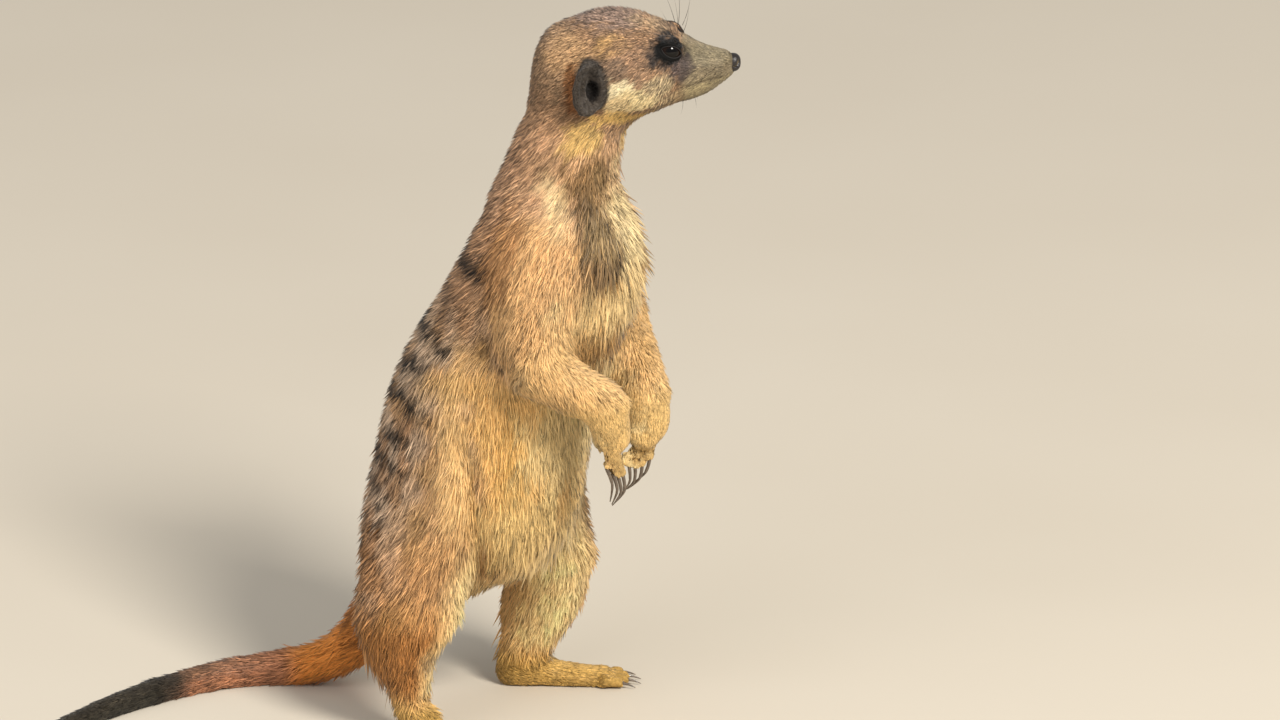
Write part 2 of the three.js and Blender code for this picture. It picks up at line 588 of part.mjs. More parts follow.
for (const [side, limb] of Object.entries(LIMBS)) {
  const { s } = limb;
  const box = (inner, outer, [x0, x1], [z0, z1]) => {
    const [y0, y1] = [s * inner, s * outer].sort((a, b) => a - b);
    return [[x0, y0, z0], [x1, y1, z1]];
  };
  const { wrist: start, knuckles } = limb.hand;
  const elbow = [limb.forearm[0].at, new THREE.Vector3(0.75, 0, -0.66)];
  const wrist = [start, new THREE.Vector3(...knuckles).sub(new THREE.Vector3(...start))];
  const arm = carve(box(2, 54, [40, 108], [104, 184]), 6.1, [...CORE, ...UPPER, ...ARMS[side]]);
  const lower = largest(ahead(arm.intersect(armOutline(limb, 0)), elbow));
  const toes = handToes(limb);
  add("upper_arm_" + side, behind(whole.intersect(armOutline(limb, 0)), elbow), FUR);
  add("forearm_" + side, behind(lower, wrist), FUR);
  add("forepaw_" + side, plus(ahead(lower, wrist), toes.map((t) => t.toe)), FUR);
  toes.forEach((t, i) => add(`claw_fore_${side}_${i + 1}`, t.claw, HORN));

  const knee = [limb.shank[0].at, new THREE.Vector3(0.1, 0, -1)];
  const ankle = [[...limb.foot.heel, 13.5], UP.clone().negate()];
  const leg = whole.intersect(legOutline(limb, 0));
  const foot = carve(box(20, 84, [-16, 62], [-6, 24]), [5.4, 5.4, 4.4], FEET[side]);
  const hindToes = footToes(limb);
  add("thigh_" + side, behind(leg, knee), FUR);
  add("shank_" + side, behind(ahead(leg, knee), ankle), FUR);
  add("hind_foot_" + side, onFloor(plus(ahead(foot, ankle), hindToes.map((t) => t.toe))), FUR);
  hindToes.forEach((t, i) => add(`claw_hind_${side}_${i + 1}`, onFloor(t.claw), HORN));
}

// Trunk, neck and tail.
const tailRoot = carve([[-85, -25, -7], [-12, 24, 72]], 6.6, [...CORE, TAIL_FORM]);
const tail = onFloor(loft(TAIL, { ...TAIL_SHAPE, rings: 18, around: 8 }));
add("neck", behind(ahead(trunk, CUT.chestNeck), CUT.neckHead), FUR);
add("chest", behind(ahead(trunk, CUT.bellyChest), CUT.chestNeck), FUR);
add("belly", behind(ahead(trunk, CUT.rumpBelly), CUT.bellyChest), FUR);
add("rump", behind(behind(trunk, CUT.rumpBelly), CUT.tailBase), FUR);
add("tail_base", onFloor(behind(ahead(tailRoot, CUT.tailBase), CUT.tailMiddle)), FUR);
add("tail_middle", behind(ahead(tail, CUT.tailMiddle), CUT.tailTip), FUR);
add("tail_tip", ahead(tail, CUT.tailTip), FUR);

// The origin is the middle of the floor under the whole animal.
const middle = new THREE.Box3().setFromObject(group).getCenter(new THREE.Vector3());
for (const mesh of group.children) mesh.geometry.translate(-middle.x, -middle.y, 0);

export default group;
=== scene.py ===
"""A standing meerkat, life size, as a still model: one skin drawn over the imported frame, a coat of fur tufts
that follow the lie of the hair, and eyes, nose pad, claws and whiskers of their own.
Places are in millimetres, in the frame's own axes, until a mesh is made of them in metres."""

import bmesh
import bpy
import numpy as np
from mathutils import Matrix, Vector, kdtree
from mathutils.bvhtree import BVHTree


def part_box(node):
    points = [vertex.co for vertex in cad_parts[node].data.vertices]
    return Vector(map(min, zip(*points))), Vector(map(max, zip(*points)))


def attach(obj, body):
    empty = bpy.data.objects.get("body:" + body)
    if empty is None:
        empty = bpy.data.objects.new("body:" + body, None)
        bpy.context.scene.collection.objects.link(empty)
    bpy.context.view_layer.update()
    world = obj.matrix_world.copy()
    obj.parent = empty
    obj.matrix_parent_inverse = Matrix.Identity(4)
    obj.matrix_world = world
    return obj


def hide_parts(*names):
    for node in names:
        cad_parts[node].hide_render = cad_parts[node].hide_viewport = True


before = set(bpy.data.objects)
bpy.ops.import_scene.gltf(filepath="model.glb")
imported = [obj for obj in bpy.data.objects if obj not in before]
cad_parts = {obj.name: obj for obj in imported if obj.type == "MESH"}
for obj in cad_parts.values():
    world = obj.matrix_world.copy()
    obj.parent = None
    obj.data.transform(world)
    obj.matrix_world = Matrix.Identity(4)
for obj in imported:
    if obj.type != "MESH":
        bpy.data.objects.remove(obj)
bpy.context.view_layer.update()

scene = bpy.context.scene
MM = 0.001
UP = np.array([0.0, 0.0, 1.0])
FRONT = np.array([1.0, 0.0, 0.0])
SIDES = {"left": 1, "right": -1}
chance = np.random.default_rng(7)


# ---- Measures taken from the frame ----

def unit(way):
    return way / np.maximum(np.linalg.norm(way, axis=-1, keepdims=True), 1e-9)


def middle(node):
    low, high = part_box(node)
    return np.array(low + high) / 2 / MM


eye_centres = {side: middle("eye_" + side) for side in SIDES}
between_eyes = (eye_centres["left"] + eye_centres["right"]) / 2
LEFTWARD = unit(eye_centres["left"] - eye_centres["right"])
AHEAD = np.cross(LEFTWARD, UP)
HEAD_AXES = np.array([AHEAD, LEFTWARD, UP])
EYE_RADIUS = 5.0
EYE_REGION = 9  # how far from the middle of an eye the skin is made finest
BODY_MIDDLE = middle("belly")[1]
FLESH = sorted(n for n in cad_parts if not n.startswith(("eye_", "claw_", "nose")))
WELD = 0.002 * MM  # corners of the frame's faces that are nearer than this are joined


def on_head(ahead, left, up):
    """A place given from the point between the eyes: how far ahead, to the animal's left and up."""
    return between_eyes + np.array([ahead, left, up]) @ HEAD_AXES


def head_way(ahead, left, up):
    return unit(np.array([ahead, left, up]) @ HEAD_AXES)


def from_head(places):
    return (places - between_eyes) @ HEAD_AXES.T


EYE_PLACE = (0.8, 9.4, -1.5)  # the middle of an eyeball: ahead, out and up from between the frame's eyes
eye_spots = {side: on_head(EYE_PLACE[0], s * EYE_PLACE[1], EYE_PLACE[2]) for side, s in SIDES.items()}


def on_body(places):
    """Along X, out from the body's middle plane, and up."""
    return np.stack([places[:, 0], np.abs(places[:, 1] - BODY_MIDDLE), places[:, 2]], 1)


def length(ways):
    return np.linalg.norm(ways, axis=-1)


def gap_to(places, spots):
    """How far each place is from the nearest of some spots."""
    return np.min([length(places - spot) for spot in spots], axis=0)


def from_lines(places, starts, spans):
    """From each place to each of some straight lines: how far along the line, and the way from it."""
    away = places[:, None] - starts
    along = np.clip((away * spans).sum(2) / (spans * spans).sum(1), 0, 1)
    return along, away - along[..., None] * spans


def along_skin(ways, normals):
    return ways - normals * (ways * normals).sum(1, keepdims=True)


def hump(value):
    """One where the value is nought, and falling away smoothly to each side."""
    return np.exp(-(value**2))


def smooth_step(low, high, value):
    t = np.clip((value - low) / (high - low), 0, 1)
    return t * t * (3 - 2 * t)


# ---- The coat on each part ----
# deep: how far the skin lies under the coat's tips; even: rounds of smoothing that take out the frame's
# facets; long, wide: a tuft's size; loose: how far tufts stray from the lie, in radians. Lengths are in mm.
# ground: the colour under the markings. way: the parts the hair runs from and to, then how far it also
# swings back along the body.
COLUMNS = ("deep", "even", "long", "wide", "loose", "ground", "way")
COAT = {
    "muzzle":      (0.5, 12, 2.2, 0.26, 0.16, "#776a53", ("nose", "head", 0)),
    "lower_jaw":   (0.6, 10, 2.6, 0.28, 0.2, "#8e8060", ("nose", "neck", 0)),
    "head":        (1.3, 30, 3.1, 0.25, 0.2, "#86694e", ("nose", "neck", 0)),
    "ear":         (0.2, 5, 1.3, 0.2, 0.4, "#3d362f", ("lower_jaw", "head", 0)),
    "neck":        (2.8, 60, 6.8, 0.36, 0.24, "#b6926e", ("head", "chest", 0.3)),
    "chest":       (3.6, 60, 9.0, 0.4, 0.26, "#9c7849", ("neck", "belly", 0.6)),
    "belly":       (3.6, 60, 8.6, 0.4, 0.22, "#e8bb78", ("chest", "rump", -0.22)),
    "rump":        (4.0, 50, 9.6, 0.42, 0.26, "#b08a5c", ("belly", "rump_foot", -0.1)),
    "upper_arm":   (3.0, 40, 7.2, 0.38, 0.22, "#cda370", ("neck", "forearm", 0.4)),
    "forearm":     (1.8, 24, 4.6, 0.33, 0.2, "#d2ab74", ("upper_arm", "forepaw", 0)),
    "forepaw":     (0.5, 5, 2.2, 0.25, 0.2, "#cfac70", ("forearm", "claw", 0)),
    "thigh":       (4.0, 50, 9.6, 0.42, 0.22, "#b48f62", ("belly", "shank", 0.15)),
    # The shank's pale ground is its fur, painted lighter as painted light where the far shank lies in shade.
    "shank":       (2.8, 30, 7.6, 0.38, 0.24, "#eabb7a", ("thigh", "heel", 0.1)),
    "hind_foot":   (0.6, 6, 2.6, 0.26, 0.18, "#b8934f", ("heel", "claw", 0)),
    # The tail's orange base, painted lighter as painted light where the body shades it.
    "tail_base":   (2.6, 24, 7.5, 0.4, 0.2, "#f59d48", ("rump", "tail_middle", 0)),
    "tail_middle": (1.5, 14, 6, 0.36, 0.18, "#99684a", ("tail", "tail", 0)),
    "tail_tip":    (0.9, 8, 5, 0.33, 0.2, "#3a362b", ("tail", "tail", 0)),
}
VOXEL = 1.15  # of the skin's first mesh
CLOSE_GAP = 0.3  # how far each part swells, so that neighbours meet and become one


def kind_of(part):
    return part.replace("_left", "").replace("_right", "")


def column(name, part):
    return COAT[kind_of(part)][COLUMNS.index(name)]


def values_of(name):
    return np.array([column(name, part) for part in FLESH], float)


def belongs(owner, *kinds):
    """Which points belong to some kinds of part."""
    return np.array([kind_of(part) in kinds for part in FLESH])[owner]


# ---- Meshes as arrays ----

def values_in(items, field, kind, count):
    """A field of all the items, as an array with so many numbers in a row."""
    flat = np.empty(len(items) * count, kind)
    items.foreach_get(field, flat)
    return flat.reshape(-1, count)


def places_of(mesh):
    return values_in(mesh.vertices, "co", np.float32, 3).astype(float) / MM


def set_places(mesh, places):
    mesh.vertices.foreach_set("co", (places * MM).astype(np.float32).ravel())
    mesh.update()


def triangles_of(mesh):
    mesh.calc_loop_triangles()
    return values_in(mesh.loop_triangles, "vertices", np.int32, 3)


def normals_at(places, triangles):
    a, b, c = (places[triangles[:, i]] for i in range(3))
    across = np.cross(b - a, c - a)
    summed = np.stack(
        [sum(np.bincount(triangles[:, i], across[:, k], len(places)) for i in range(3)) for k in range(3)], 1
    )
    return unit(summed)


class Web:
    """Which points of a mesh are joined by an edge, to even out values over its surface."""

    def __init__(self, mesh):
        pairs = values_in(mesh.edges, "vertices", np.int32, 2)
        pairs = np.concatenate([pairs, pairs[:, ::-1]])
        pairs = pairs[np.argsort(pairs[:, 0], kind="stable")]
        self.others = pairs[:, 1]
        counts = np.bincount(pairs[:, 0], minlength=len(mesh.vertices))
        self.counts = counts[:, None].astype(float)
        self.starts = np.concatenate([[0], np.cumsum(counts)[:-1]])

    def evened(self, values, rounds, share=0.5):
        flat = values if values.ndim == 2 else values[:, None]
        for _ in range(rounds):
            near = np.add.reduceat(flat[self.others], self.starts, axis=0) / self.counts
            flat = flat + share * (near - flat)
        return flat if values.ndim == 2 else flat[:, 0]


def welded(node):
    """A node of the frame to work on, its faces joined at their corners."""
    shape = bmesh.new()
    shape.from_mesh(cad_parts[node].data)
    bmesh.ops.remove_doubles(shape, verts=shape.verts, dist=WELD)
    return shape


def new_piece(name, data):
    piece = bpy.data.objects.new(name, data)
    scene.collection.objects.link(piece)
    return piece


def modified(name, mesh, kind, **settings):
    """The mesh that a modifier makes of another."""
    piece = new_piece(name, mesh)
    modifier = piece.modifiers.new(name, kind)
    for setting, value in settings.items():
        setattr(modifier, setting, value)
    shown = piece.evaluated_get(bpy.context.evaluated_depsgraph_get())
    made = bpy.data.meshes.new_from_object(shown)
    bpy.data.objects.remove(piece)
    return made


def show(name, mesh, material, replaced=()):
    """Adds a piece fixed to the root body, and hides the nodes of the frame it stands for."""
    mesh.materials.append(material)
    piece = new_piece(name, mesh)
    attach(piece, "root")
    if replaced:
        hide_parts(*replaced)


def mesh_from(name, places, faces):
    """A mesh of triangles from arrays."""
    mesh = bpy.data.meshes.new(name)
    mesh.vertices.add(len(places))
    mesh.vertices.foreach_set("co", (places * MM).astype(np.float32).ravel())
    mesh.loops.add(faces.size)
    mesh.loops.foreach_set("vertex_index", faces.astype(np.int32).ravel())
    mesh.polygons.add(len(faces))
    mesh.polygons.foreach_set("loop_start", np.arange(0, faces.size, faces.shape[1], dtype=np.int32))
    mesh.update(calc_edges=True)
    mesh.validate()
    mesh.shade_smooth()
    return mesh


def write_colours(mesh, colours):
    """Gives each point the colour of its markings."""
    layer = mesh.attributes.new("marking", "FLOAT_COLOR", "POINT")
    opaque = np.ones((len(mesh.vertices), 4), np.float32)
    opaque[:, :3] = colours
    layer.data.foreach_set("color", opaque.ravel())


# ---- The skin ----

def flesh_shape():
    """Every part of flesh swollen until it meets its neighbours, then made into one closed surface."""
    shape = bmesh.new()
    for name in FLESH + ["eye_left", "eye_right", "nose"]:
        part = welded(name)
        part.normal_update()
        for v in part.verts:
            v.co += v.normal * CLOSE_GAP * MM
        swollen = bpy.data.meshes.new("swollen")
        part.to_mesh(swollen)
        part.free()
        shape.from_mesh(swollen)
        bpy.data.meshes.remove(swollen)
    mesh = bpy.data.meshes.new("flesh")
    shape.to_mesh(mesh)
    shape.free()
    return modified("flesh", mesh, "REMESH", mode="VOXEL", voxel_size=VOXEL * MM)


def keep_largest(mesh):
    """Drops every shell but the largest, such as the walls of a closed gap."""
    shape = bmesh.new()
    shape.from_mesh(mesh)
    unseen = set(shape.verts)
    shells = []
    while unseen:
        front = [unseen.pop()]
        shell = list(front)
        while front:
            found = {e.other_vert(v) for v in front for e in v.link_edges} & unseen
            unseen -= found
            front = list(found)
            shell += front
        shells.append(shell)
    shells.sort(key=len)
    for shell in shells[:-1]:
        bmesh.ops.delete(shape, geom=shell, context="VERTS")
    shape.to_mesh(mesh)
    shape.free()


def refine(mesh, wanted):
    """Halves the edges whose ends are both wanted."""
    shape = bmesh.new()
    shape.from_mesh(mesh)
    shape.verts.ensure_lookup_table()
    edges = [e for e in shape.edges if wanted[e.verts[0].index] and wanted[e.verts[1].index]]
    bmesh.ops.subdivide_edges(shape, edges=edges, cuts=1, use_grid_fill=True)
    shape.to_mesh(mesh)
    shape.free()


def nearest_part(at):
    """The part of the frame's flesh that is nearest to each place."""
    places, faces, owners = [], [], []
    for index, name in enumerate(FLESH):
        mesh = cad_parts[name].data
        first = len(places)
        places += [v.co.copy() for v in mesh.vertices]
        for face in mesh.polygons:
            faces.append([first + i for i in face.vertices])
            owners.append(index)
    tree = BVHTree.FromPolygons(places, faces)
    return np.array([owners[tree.find_nearest(Vector(p * MM))[2]] for p in at])


# The middle of an ear, ahead, out and up from between the eyes, and half its length and height.
EAR_PLACE = (-29.3, 22.0, -14.2)
EAR_HALF = (6.6, 10.8)


def face_region(places):
    """Which places are on the finely made front of the face or by an ear."""
    ahead, left, up = from_head(places).T
    face = (ahead > -12) & (up > -24) & (up < 14)
    near_ear = np.hypot((ahead - EAR_PLACE[0]) / 10, (up - EAR_PLACE[2]) / 14) < 1
    return face | (near_ear & (np.abs(left) > 15) & (up > -30))


# The opening between the lids: half its length and height, its slope to the front corner, how far the lids
# stand over the ball, and which way the eye looks.
LIDS = dict(long=4.1, tall=2.2, slope=-0.3, thick=0.4, look=(0.3, 0.94, 0.1))


def eye_axes(side):
    ahead, out, up = LIDS["look"]
    look = head_way(ahead, SIDES[side] * out, up)
    along = AHEAD + LIDS["slope"] * UP
    along = unit(along - look * (along @ look))
    return along, np.cross(along, look) * SIDES[side], look


def lid_edge(x):
    """How far the lids' edges are from the line between the corners of the eye."""
    return LIDS["tall"] * np.clip(1 - (x / LIDS["long"]) ** 2, 0, 1) ** 0.72


def shape_lids(places, side):
    """Draws the skin over the eyeball as lids, and back behind it within the opening."""
    along, over, look = eye_axes(side)
    away = places - eye_spots[side]
    reach = length(away)
    way = away / reach[:, None]
    x, y, facing = way @ along * EYE_RADIUS, way @ over * EYE_RADIUS, way @ look
    brow = 0.15 * hump((y - 4.4) / 1.4)
    fold = -0.25 * hump((np.hypot(x / 1.3, y) - 4.1) / 0.45)
    lids = EYE_RADIUS + LIDS["thick"] + brow + fold
    apart = np.abs(reach - lids)
    covered = np.maximum(reach, lids) + np.maximum(2 - apart, 0) ** 2 / 8
    opening = (np.abs(y) < lid_edge(x)) & (facing > 0)
    wanted = np.where(opening, EYE_RADIUS - 1.2, covered)
    share = smooth_step(-0.15, 0.3, facing) * smooth_step(15, 11, reach)
    return places + way * ((wanted - reach) * share)[:, None]


def eye_gap(places):
    """How far a place is from the nearer eye's opening, in openings."""
    gaps = []
    for side in SIDES:
        along, over, look = eye_axes(side)
        away = places - eye_spots[side]
        way = away * EYE_RADIUS / np.linalg.norm(away, axis=1, keepdims=True)
        flat = np.hypot(way @ along / (LIDS["long"] + 0.5), way @ over / (LIDS["tall"] + 0.7))
        beyond = np.maximum(length(away) - EYE_RADIUS - 1.5, 0) / 2.5
        gaps.append(np.where(way @ look > 0, flat + beyond, 9))
    return np.minimum(*gaps)


def claw_ends(name, paw):
    """Where a claw leaves its toe, and its tip."""
    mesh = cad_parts[name].data
    places = places_of(mesh)
    order = np.argsort(length(places - paw))
    few = max(len(order) // 5, 3)
    return places[order[:few]].mean(0), places[order[-2:]].mean(0)


# How the toes of each limb are drawn. gather: the share of the way they move towards the middle of their row;
# long: from claw to hand; wide, spread: a toe's radius at the claw, and what it gains by the hand; near: how
# far from a toe the skin still follows it; drop: how much lower it lies; draw: how far it turns inward.
TOES = {
    "fore": dict(gather=0.2, long=20, wide=2.3, spread=5.6, near=9, drop=0, draw=0.25),
    "hind": dict(gather=0.08, long=15, wide=1.9, spread=2.6, near=7, drop=0.4, draw=-0.05),
}
TOE_START = 1.4  # from a claw's root back to the middle of its toe's round end
TOE_GROOVE = dict(deep=0.35, wide=0.7)


def find_paws():
    """For each paw: its middle, and the roots and tips of its four claws, drawn a little together."""
    paws = []
    for limb, part in (("fore", "forepaw_"), ("hind", "hind_foot_")):
        for side in SIDES:
            paw = middle(part + side)
            ends = np.array([claw_ends(f"claw_{limb}_{side}_{i}", paw) for i in range(1, 5)])
            gather = (ends[:, 0].mean(0) - ends[:, 0]) * TOES[limb]["gather"]
            paws.append((limb, side, paw, ends[:, 0] + gather, ends[:, 1] + gather))
    return paws


PAWS = find_paws()


def near_toes(places):
    return gap_to(places, [roots.mean(0) for _, _, _, roots, _ in PAWS]) < 14


def shape_toes(places, normals):
    """Draws the front of each paw in round four toes, with a groove between each and the next."""
    places = places.copy()
    between = np.zeros(len(places))
    for limb, _, paw, roots, _ in PAWS:
        toe = TOES[limb]
        centre = roots.mean(0)
        back = unit(paw - centre)
        near = np.flatnonzero(length(places - centre) < 24)
        here = places[near]
        row = unit(roots[-1] - roots[0])
        aside = (here - centre) @ row
        behind = (here - centre) @ back / toe["long"]
        here = here - row * (aside * toe["gather"] * smooth_step(0.9, 0.2, behind))[:, None]
        starts = roots + back * TOE_START - UP * toe["drop"]
        spans = back * toe["long"] + (centre - roots) * toe["draw"]
        along, away = from_lines(here, starts, spans)
        gaps = length(away)
        nearest = np.arange(len(near)), gaps.argmin(1)
        next_gap = np.partition(gaps, 1, axis=1)[:, 1]
        gap, along, away = gaps[nearest], along[nearest], away[nearest]
        wide = toe["wide"] + toe["spread"] * along**1.3
        share = smooth_step(0.9, 0.35, along) * smooth_step(toe["near"], toe["near"] - 3, gap)
        groove = hump((next_gap - gap) / TOE_GROOVE["wide"]) * smooth_step(0.5, 0.2, along)
        groove = groove * smooth_step(5, 3.5, gap)
        moved = here + away / np.maximum(gap, 0.1)[:, None] * ((wide - gap) * share)[:, None]
        places[near] = moved - normals[near] * (TOE_GROOVE["deep"] * groove)[:, None]
        between[near] = np.maximum(between[near], groove)
    return places, between


def shape_mouth(places, normals):
    """A shallow groove where the lips meet."""
    ahead, _, up = from_head(places).T
    line = -13.2 + (ahead - 18.4) * 0.2
    along = smooth_step(2, 6, ahead) * smooth_step(24.6, 22, ahead)
    groove = hump((up - line) / 0.5) * along
    return places - normals * (0.4 * groove)[:, None], groove


# The folds where each thigh meets the belly: along X, out from the middle plane and up.
GROIN = np.array([(32, 38, 122), (35, 37, 108), (36, 35, 92), (36, 30, 76), (30, 22, 62)], float)
GROIN_FOLD = dict(deep=3.0, wide=4.5)


def groin_fold(places):
    """How near each place is to the fold between thigh and belly."""
    _, away = from_lines(on_body(places), GROIN[:-1], GROIN[1:] - GROIN[:-1])
    return hump(length(away).min(1) / GROIN_FOLD["wide"])


def ear_view(places, side):
    """Places as seen from the middle of an ear: forward, up and outwards, over the flat of the ear."""
    s = SIDES[side]
    ahead, out, up = EAR_PLACE
    away = places - on_head(ahead, s * out, up)
    look = head_way(0.28, s * 0.95, 0.1)
    forward = unit(AHEAD - look * (AHEAD @ look))
    over = np.cross(look, forward) * s
    return away @ forward, away @ over, away @ look, look


def shape_ear(places, side):
    """A rolled rim round a shallow flap, with a deep cup towards its upper front and folds across the cup."""
    x, z, out, look = ear_view(places, side)
    round_ear = np.hypot(x / EAR_HALF[0], z / EAR_HALF[1])
    on_ear = (out > -3.5) & (round_ear < 1.25)
    rim = 0.9 * hump((round_ear - 0.9) / 0.1) * smooth_step(5, 1, x)
    flap = -1.1 * smooth_step(0.95, 0.6, round_ear)
    cup = -3.4 * smooth_step(1.05, 0.55, np.hypot((x - 1.7) / 3.2, (z - 0.4) / 5.2))
    helix = 1.4 * hump((x + 1.0 - 0.12 * z) / 0.7) * smooth_step(7.5, 4.5, np.abs(z - 2.2))
    shelf = 1.6 * hump((z + 2.2 + 0.5 * x) / 0.85) * smooth_step(4, 2.2, np.abs(x - 1.8))
    push = np.where(on_ear, rim + flap + cup + helix + shelf, 0)
    hollow = np.where(on_ear, cup + 0.8 * helix + 0.6 * shelf, 0)
    return places + look * push[:, None], on_ear & (round_ear < 1.08), hollow


def tail_line(places):
    """The middle line of the tail, found by walking along it in short steps."""
    step = 5.0
    line = [middle("tail_base")]
    way = unit(middle("tail_middle") - line[0])
    while True:
        ahead = places[np.abs((places - line[-1]) @ way - step) < step / 2]
        ahead = ahead[length(ahead - line[-1]) < 22]
        if len(ahead) < 8:
            return np.array(line)
        way = unit(ahead.mean(0) - line[-1])
        line.append(line[-1] + way * step)


def landmark(name, part):
    """Where a run of hair starts or ends, for one part of the body."""
    side = part.rsplit("_", 1)[-1]
    if name == "heel":
        return middle("hind_foot_" + side) * 2 - middle("claw_hind_" + side + "_2")
    if name == "claw":
        return middle("claw_" + ("fore_" if "fore" in part else "hind_") + side + "_2")
    if name == "rump_foot":
        return middle("rump") - UP * 40
    return middle(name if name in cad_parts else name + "_" + side)


def lie_of_hair(places, normals, owner, web):
    """Which way the hair runs at each point: from part to part, along the tail, and evened out."""
    ways = np.zeros((len(FLESH), 3))
    for index, part in enumerate(FLESH):
        start, end, back = column("way", part)
        if start == "tail":
            continue
        ways[index] = unit(landmark(end, part) - landmark(start, part)) - back * FRONT
    flow = unit(ways[owner])
    whole_tail = np.isin(owner, [i for i, part in enumerate(FLESH) if part.startswith("tail")])
    on_tail = whole_tail & (owner != FLESH.index("tail_base"))
    line = tail_line(places[whole_tail])
    steps = unit(np.gradient(line, axis=0))
    gaps = length(places[on_tail][:, None] - line)
    flow[on_tail] = steps[gaps.argmin(1)]
    flow = web.evened(flow, 40)
    return unit(web.evened(unit(along_skin(flow, normals)), 6))


# ---- Markings ----

def from_srgb(code):
    """A colour given as sRGB hex, in linear light."""
    shares = np.array([int(code[i:i + 2], 16) for i in (1, 3, 5)]) / 255
    return np.where(shares <= 0.04045, shares / 12.92, ((shares + 0.055) / 1.055) ** 2.4)


def mottle(size, waves=24):
    """A soft random pattern with patches of about one size, as a function of the place."""
    ways = unit(chance.normal(size=(waves, 3))) * (2 * np.pi / size) * chance.uniform(0.7, 1.5, (waves, 1))
    starts = chance.uniform(0, 2 * np.pi, waves)
    return lambda places: np.cos(places @ ways.T + starts).sum(1) / np.sqrt(waves / 2)


# Patches on the head: from between the eyes, ahead, out to each side and up; half sizes; colour; strength.
HEAD_PATCHES = [
    ((-22, 0, 12), (26, 20, 8), "#7c685c", 0.85),
    ((-6, 5, 9), (9, 8, 5), "#937b5e", 0.75),
    ((-44, 8, -4), (10, 14, 14), "#977b5e", 0.75),
    ((-38, 15, -2), (10, 9, 8), "#b8946c", 0.8),
    ((-20, 19, 2), (7, 7, 4.5), "#bd965f", 0.7),
    ((-14, 17, -1), (8, 7, 6), "#80634a", 0.75),
    ((-19, 20, -7), (5, 6, 5), "#6a5746", 0.8),
    ((14, 4, -4), (12, 6, 4), "#7b7058", 0.85),
    ((-18, 20, -16.5), (6, 9, 6.4), "#f6e6bc", 0.95),
    ((-11.5, 19, -19), (8, 9, 4.6), "#f4dca6", 0.9),
    ((-4, 17, -14), (7, 7, 5), "#9c8d6c", 0.7),
    ((-19, 18, -21), (5, 8, 4.5), "#f0d4a0", 0.9),
    ((-17, 14, -27), (11, 9, 3.6), "#f2c878", 0.9),
    ((-2, 8, -20), (9, 9, 4), "#a08b69", 0.7),
    ((-0.2, 15, -1.4), (9.6, 9, 7.2), "#241d1b", 0.9),
    ((5, 12, -8), (4.6, 6, 5.4), "#453a37", 0.9),
    ((0.5, 14, -0.8), (6.4, 9, 4.8), "#0a0807", 1.0),
]
# Patches on the body: along X, out from the middle plane, up; half sizes; colour; strength.
BODY_PATCHES = [
    ((70, 12, 242), (9, 8, 8), "#e8c27c", 0.95),
    ((61, 19, 221), (7, 6, 8), "#f2d6a4", 0.8),
    ((66, 21, 210), (7, 5, 9), "#e4c896", 0.5),
    ((45, 33, 199), (11, 14, 20), "#a0744a", 0.85),
    ((80, 4, 208), (12, 18, 26), "#e6cf9c", 0.9),
    ((50, 30, 106), (11, 15, 30), "#b8914f", 0.85),
    ((27, 38, 112), (8, 9, 34), "#f6cd90", 0.75),
    ((82, 12, 174), (16, 26, 13), "#efcf94", 0.85),
    # The pale belly, partly its fur and partly painted light where the forearm shades it.
    ((62, 8, 118), (18, 24, 32), "#f3d79c", 0.9),
    ((42, 14, 84), (18, 18, 18), "#dcbd80", 0.8),
]
# The same on one side only, with the second number signed to the animal's left: the darker brown on the right
# of the foreneck, partly its brown fur and partly painted shade, and a browner tint on the left forearm.
ONE_SIDED_PATCHES = [
    ((72, -8, 224), (15, 10, 13), "#7b5e3a", 0.85),
    ((75, -10.5, 203), (16, 11, 17), "#6a5231", 0.85),
    ((75, -12, 189), (13, 11, 8), "#57412a", 0.7),
    ((74, 27, 148), (14, 14, 20), "#b8925c", 0.55),
]
# The dark cross-bands of the back: how high each is where it crosses the spine, and how strong.
BANDS = (
    (191, 1.0), (176, 0.45), (161, 0.9), (148, 0.8), (135, 0.9),
    (122, 0.7), (110, 0.85), (98, 0.6), (87, 0.85), (76, 0.6),
)
BAND_HALF = 2.6  # half the height of a band
# The colours of the back: its brown, its bands and the grey between them.
BACK = dict(brown="#a98365", band="#050302", grey="#ccb59c")
FINE_COATED = ("forearm", "forepaw", "hind_foot", "muzzle", "lower_jaw")
# Mottling by the mm from patch to patch.
SPECKLE = mottle(3.2)
CLOUD = mottle(16)
PATCHWORK = mottle(7)


def rgba(code):
    return (*from_srgb(code), 1)


def lay_over(ground, colour, share):
    share = np.clip(share, 0, 1)[:, None]
    return ground * (1 - share) + from_srgb(colour) * share


def lay_all(ground, layers):
    for colour, share in layers:
        ground = lay_over(ground, colour, share)
    return ground


def lay_patches(ground, at, patches, ragged):
    for centre, halves, colour, strength in patches:
        away = length((at - centre) / halves) + ragged
        ground = lay_over(ground, colour, strength * smooth_step(1.25, 0.65, away))
    return ground


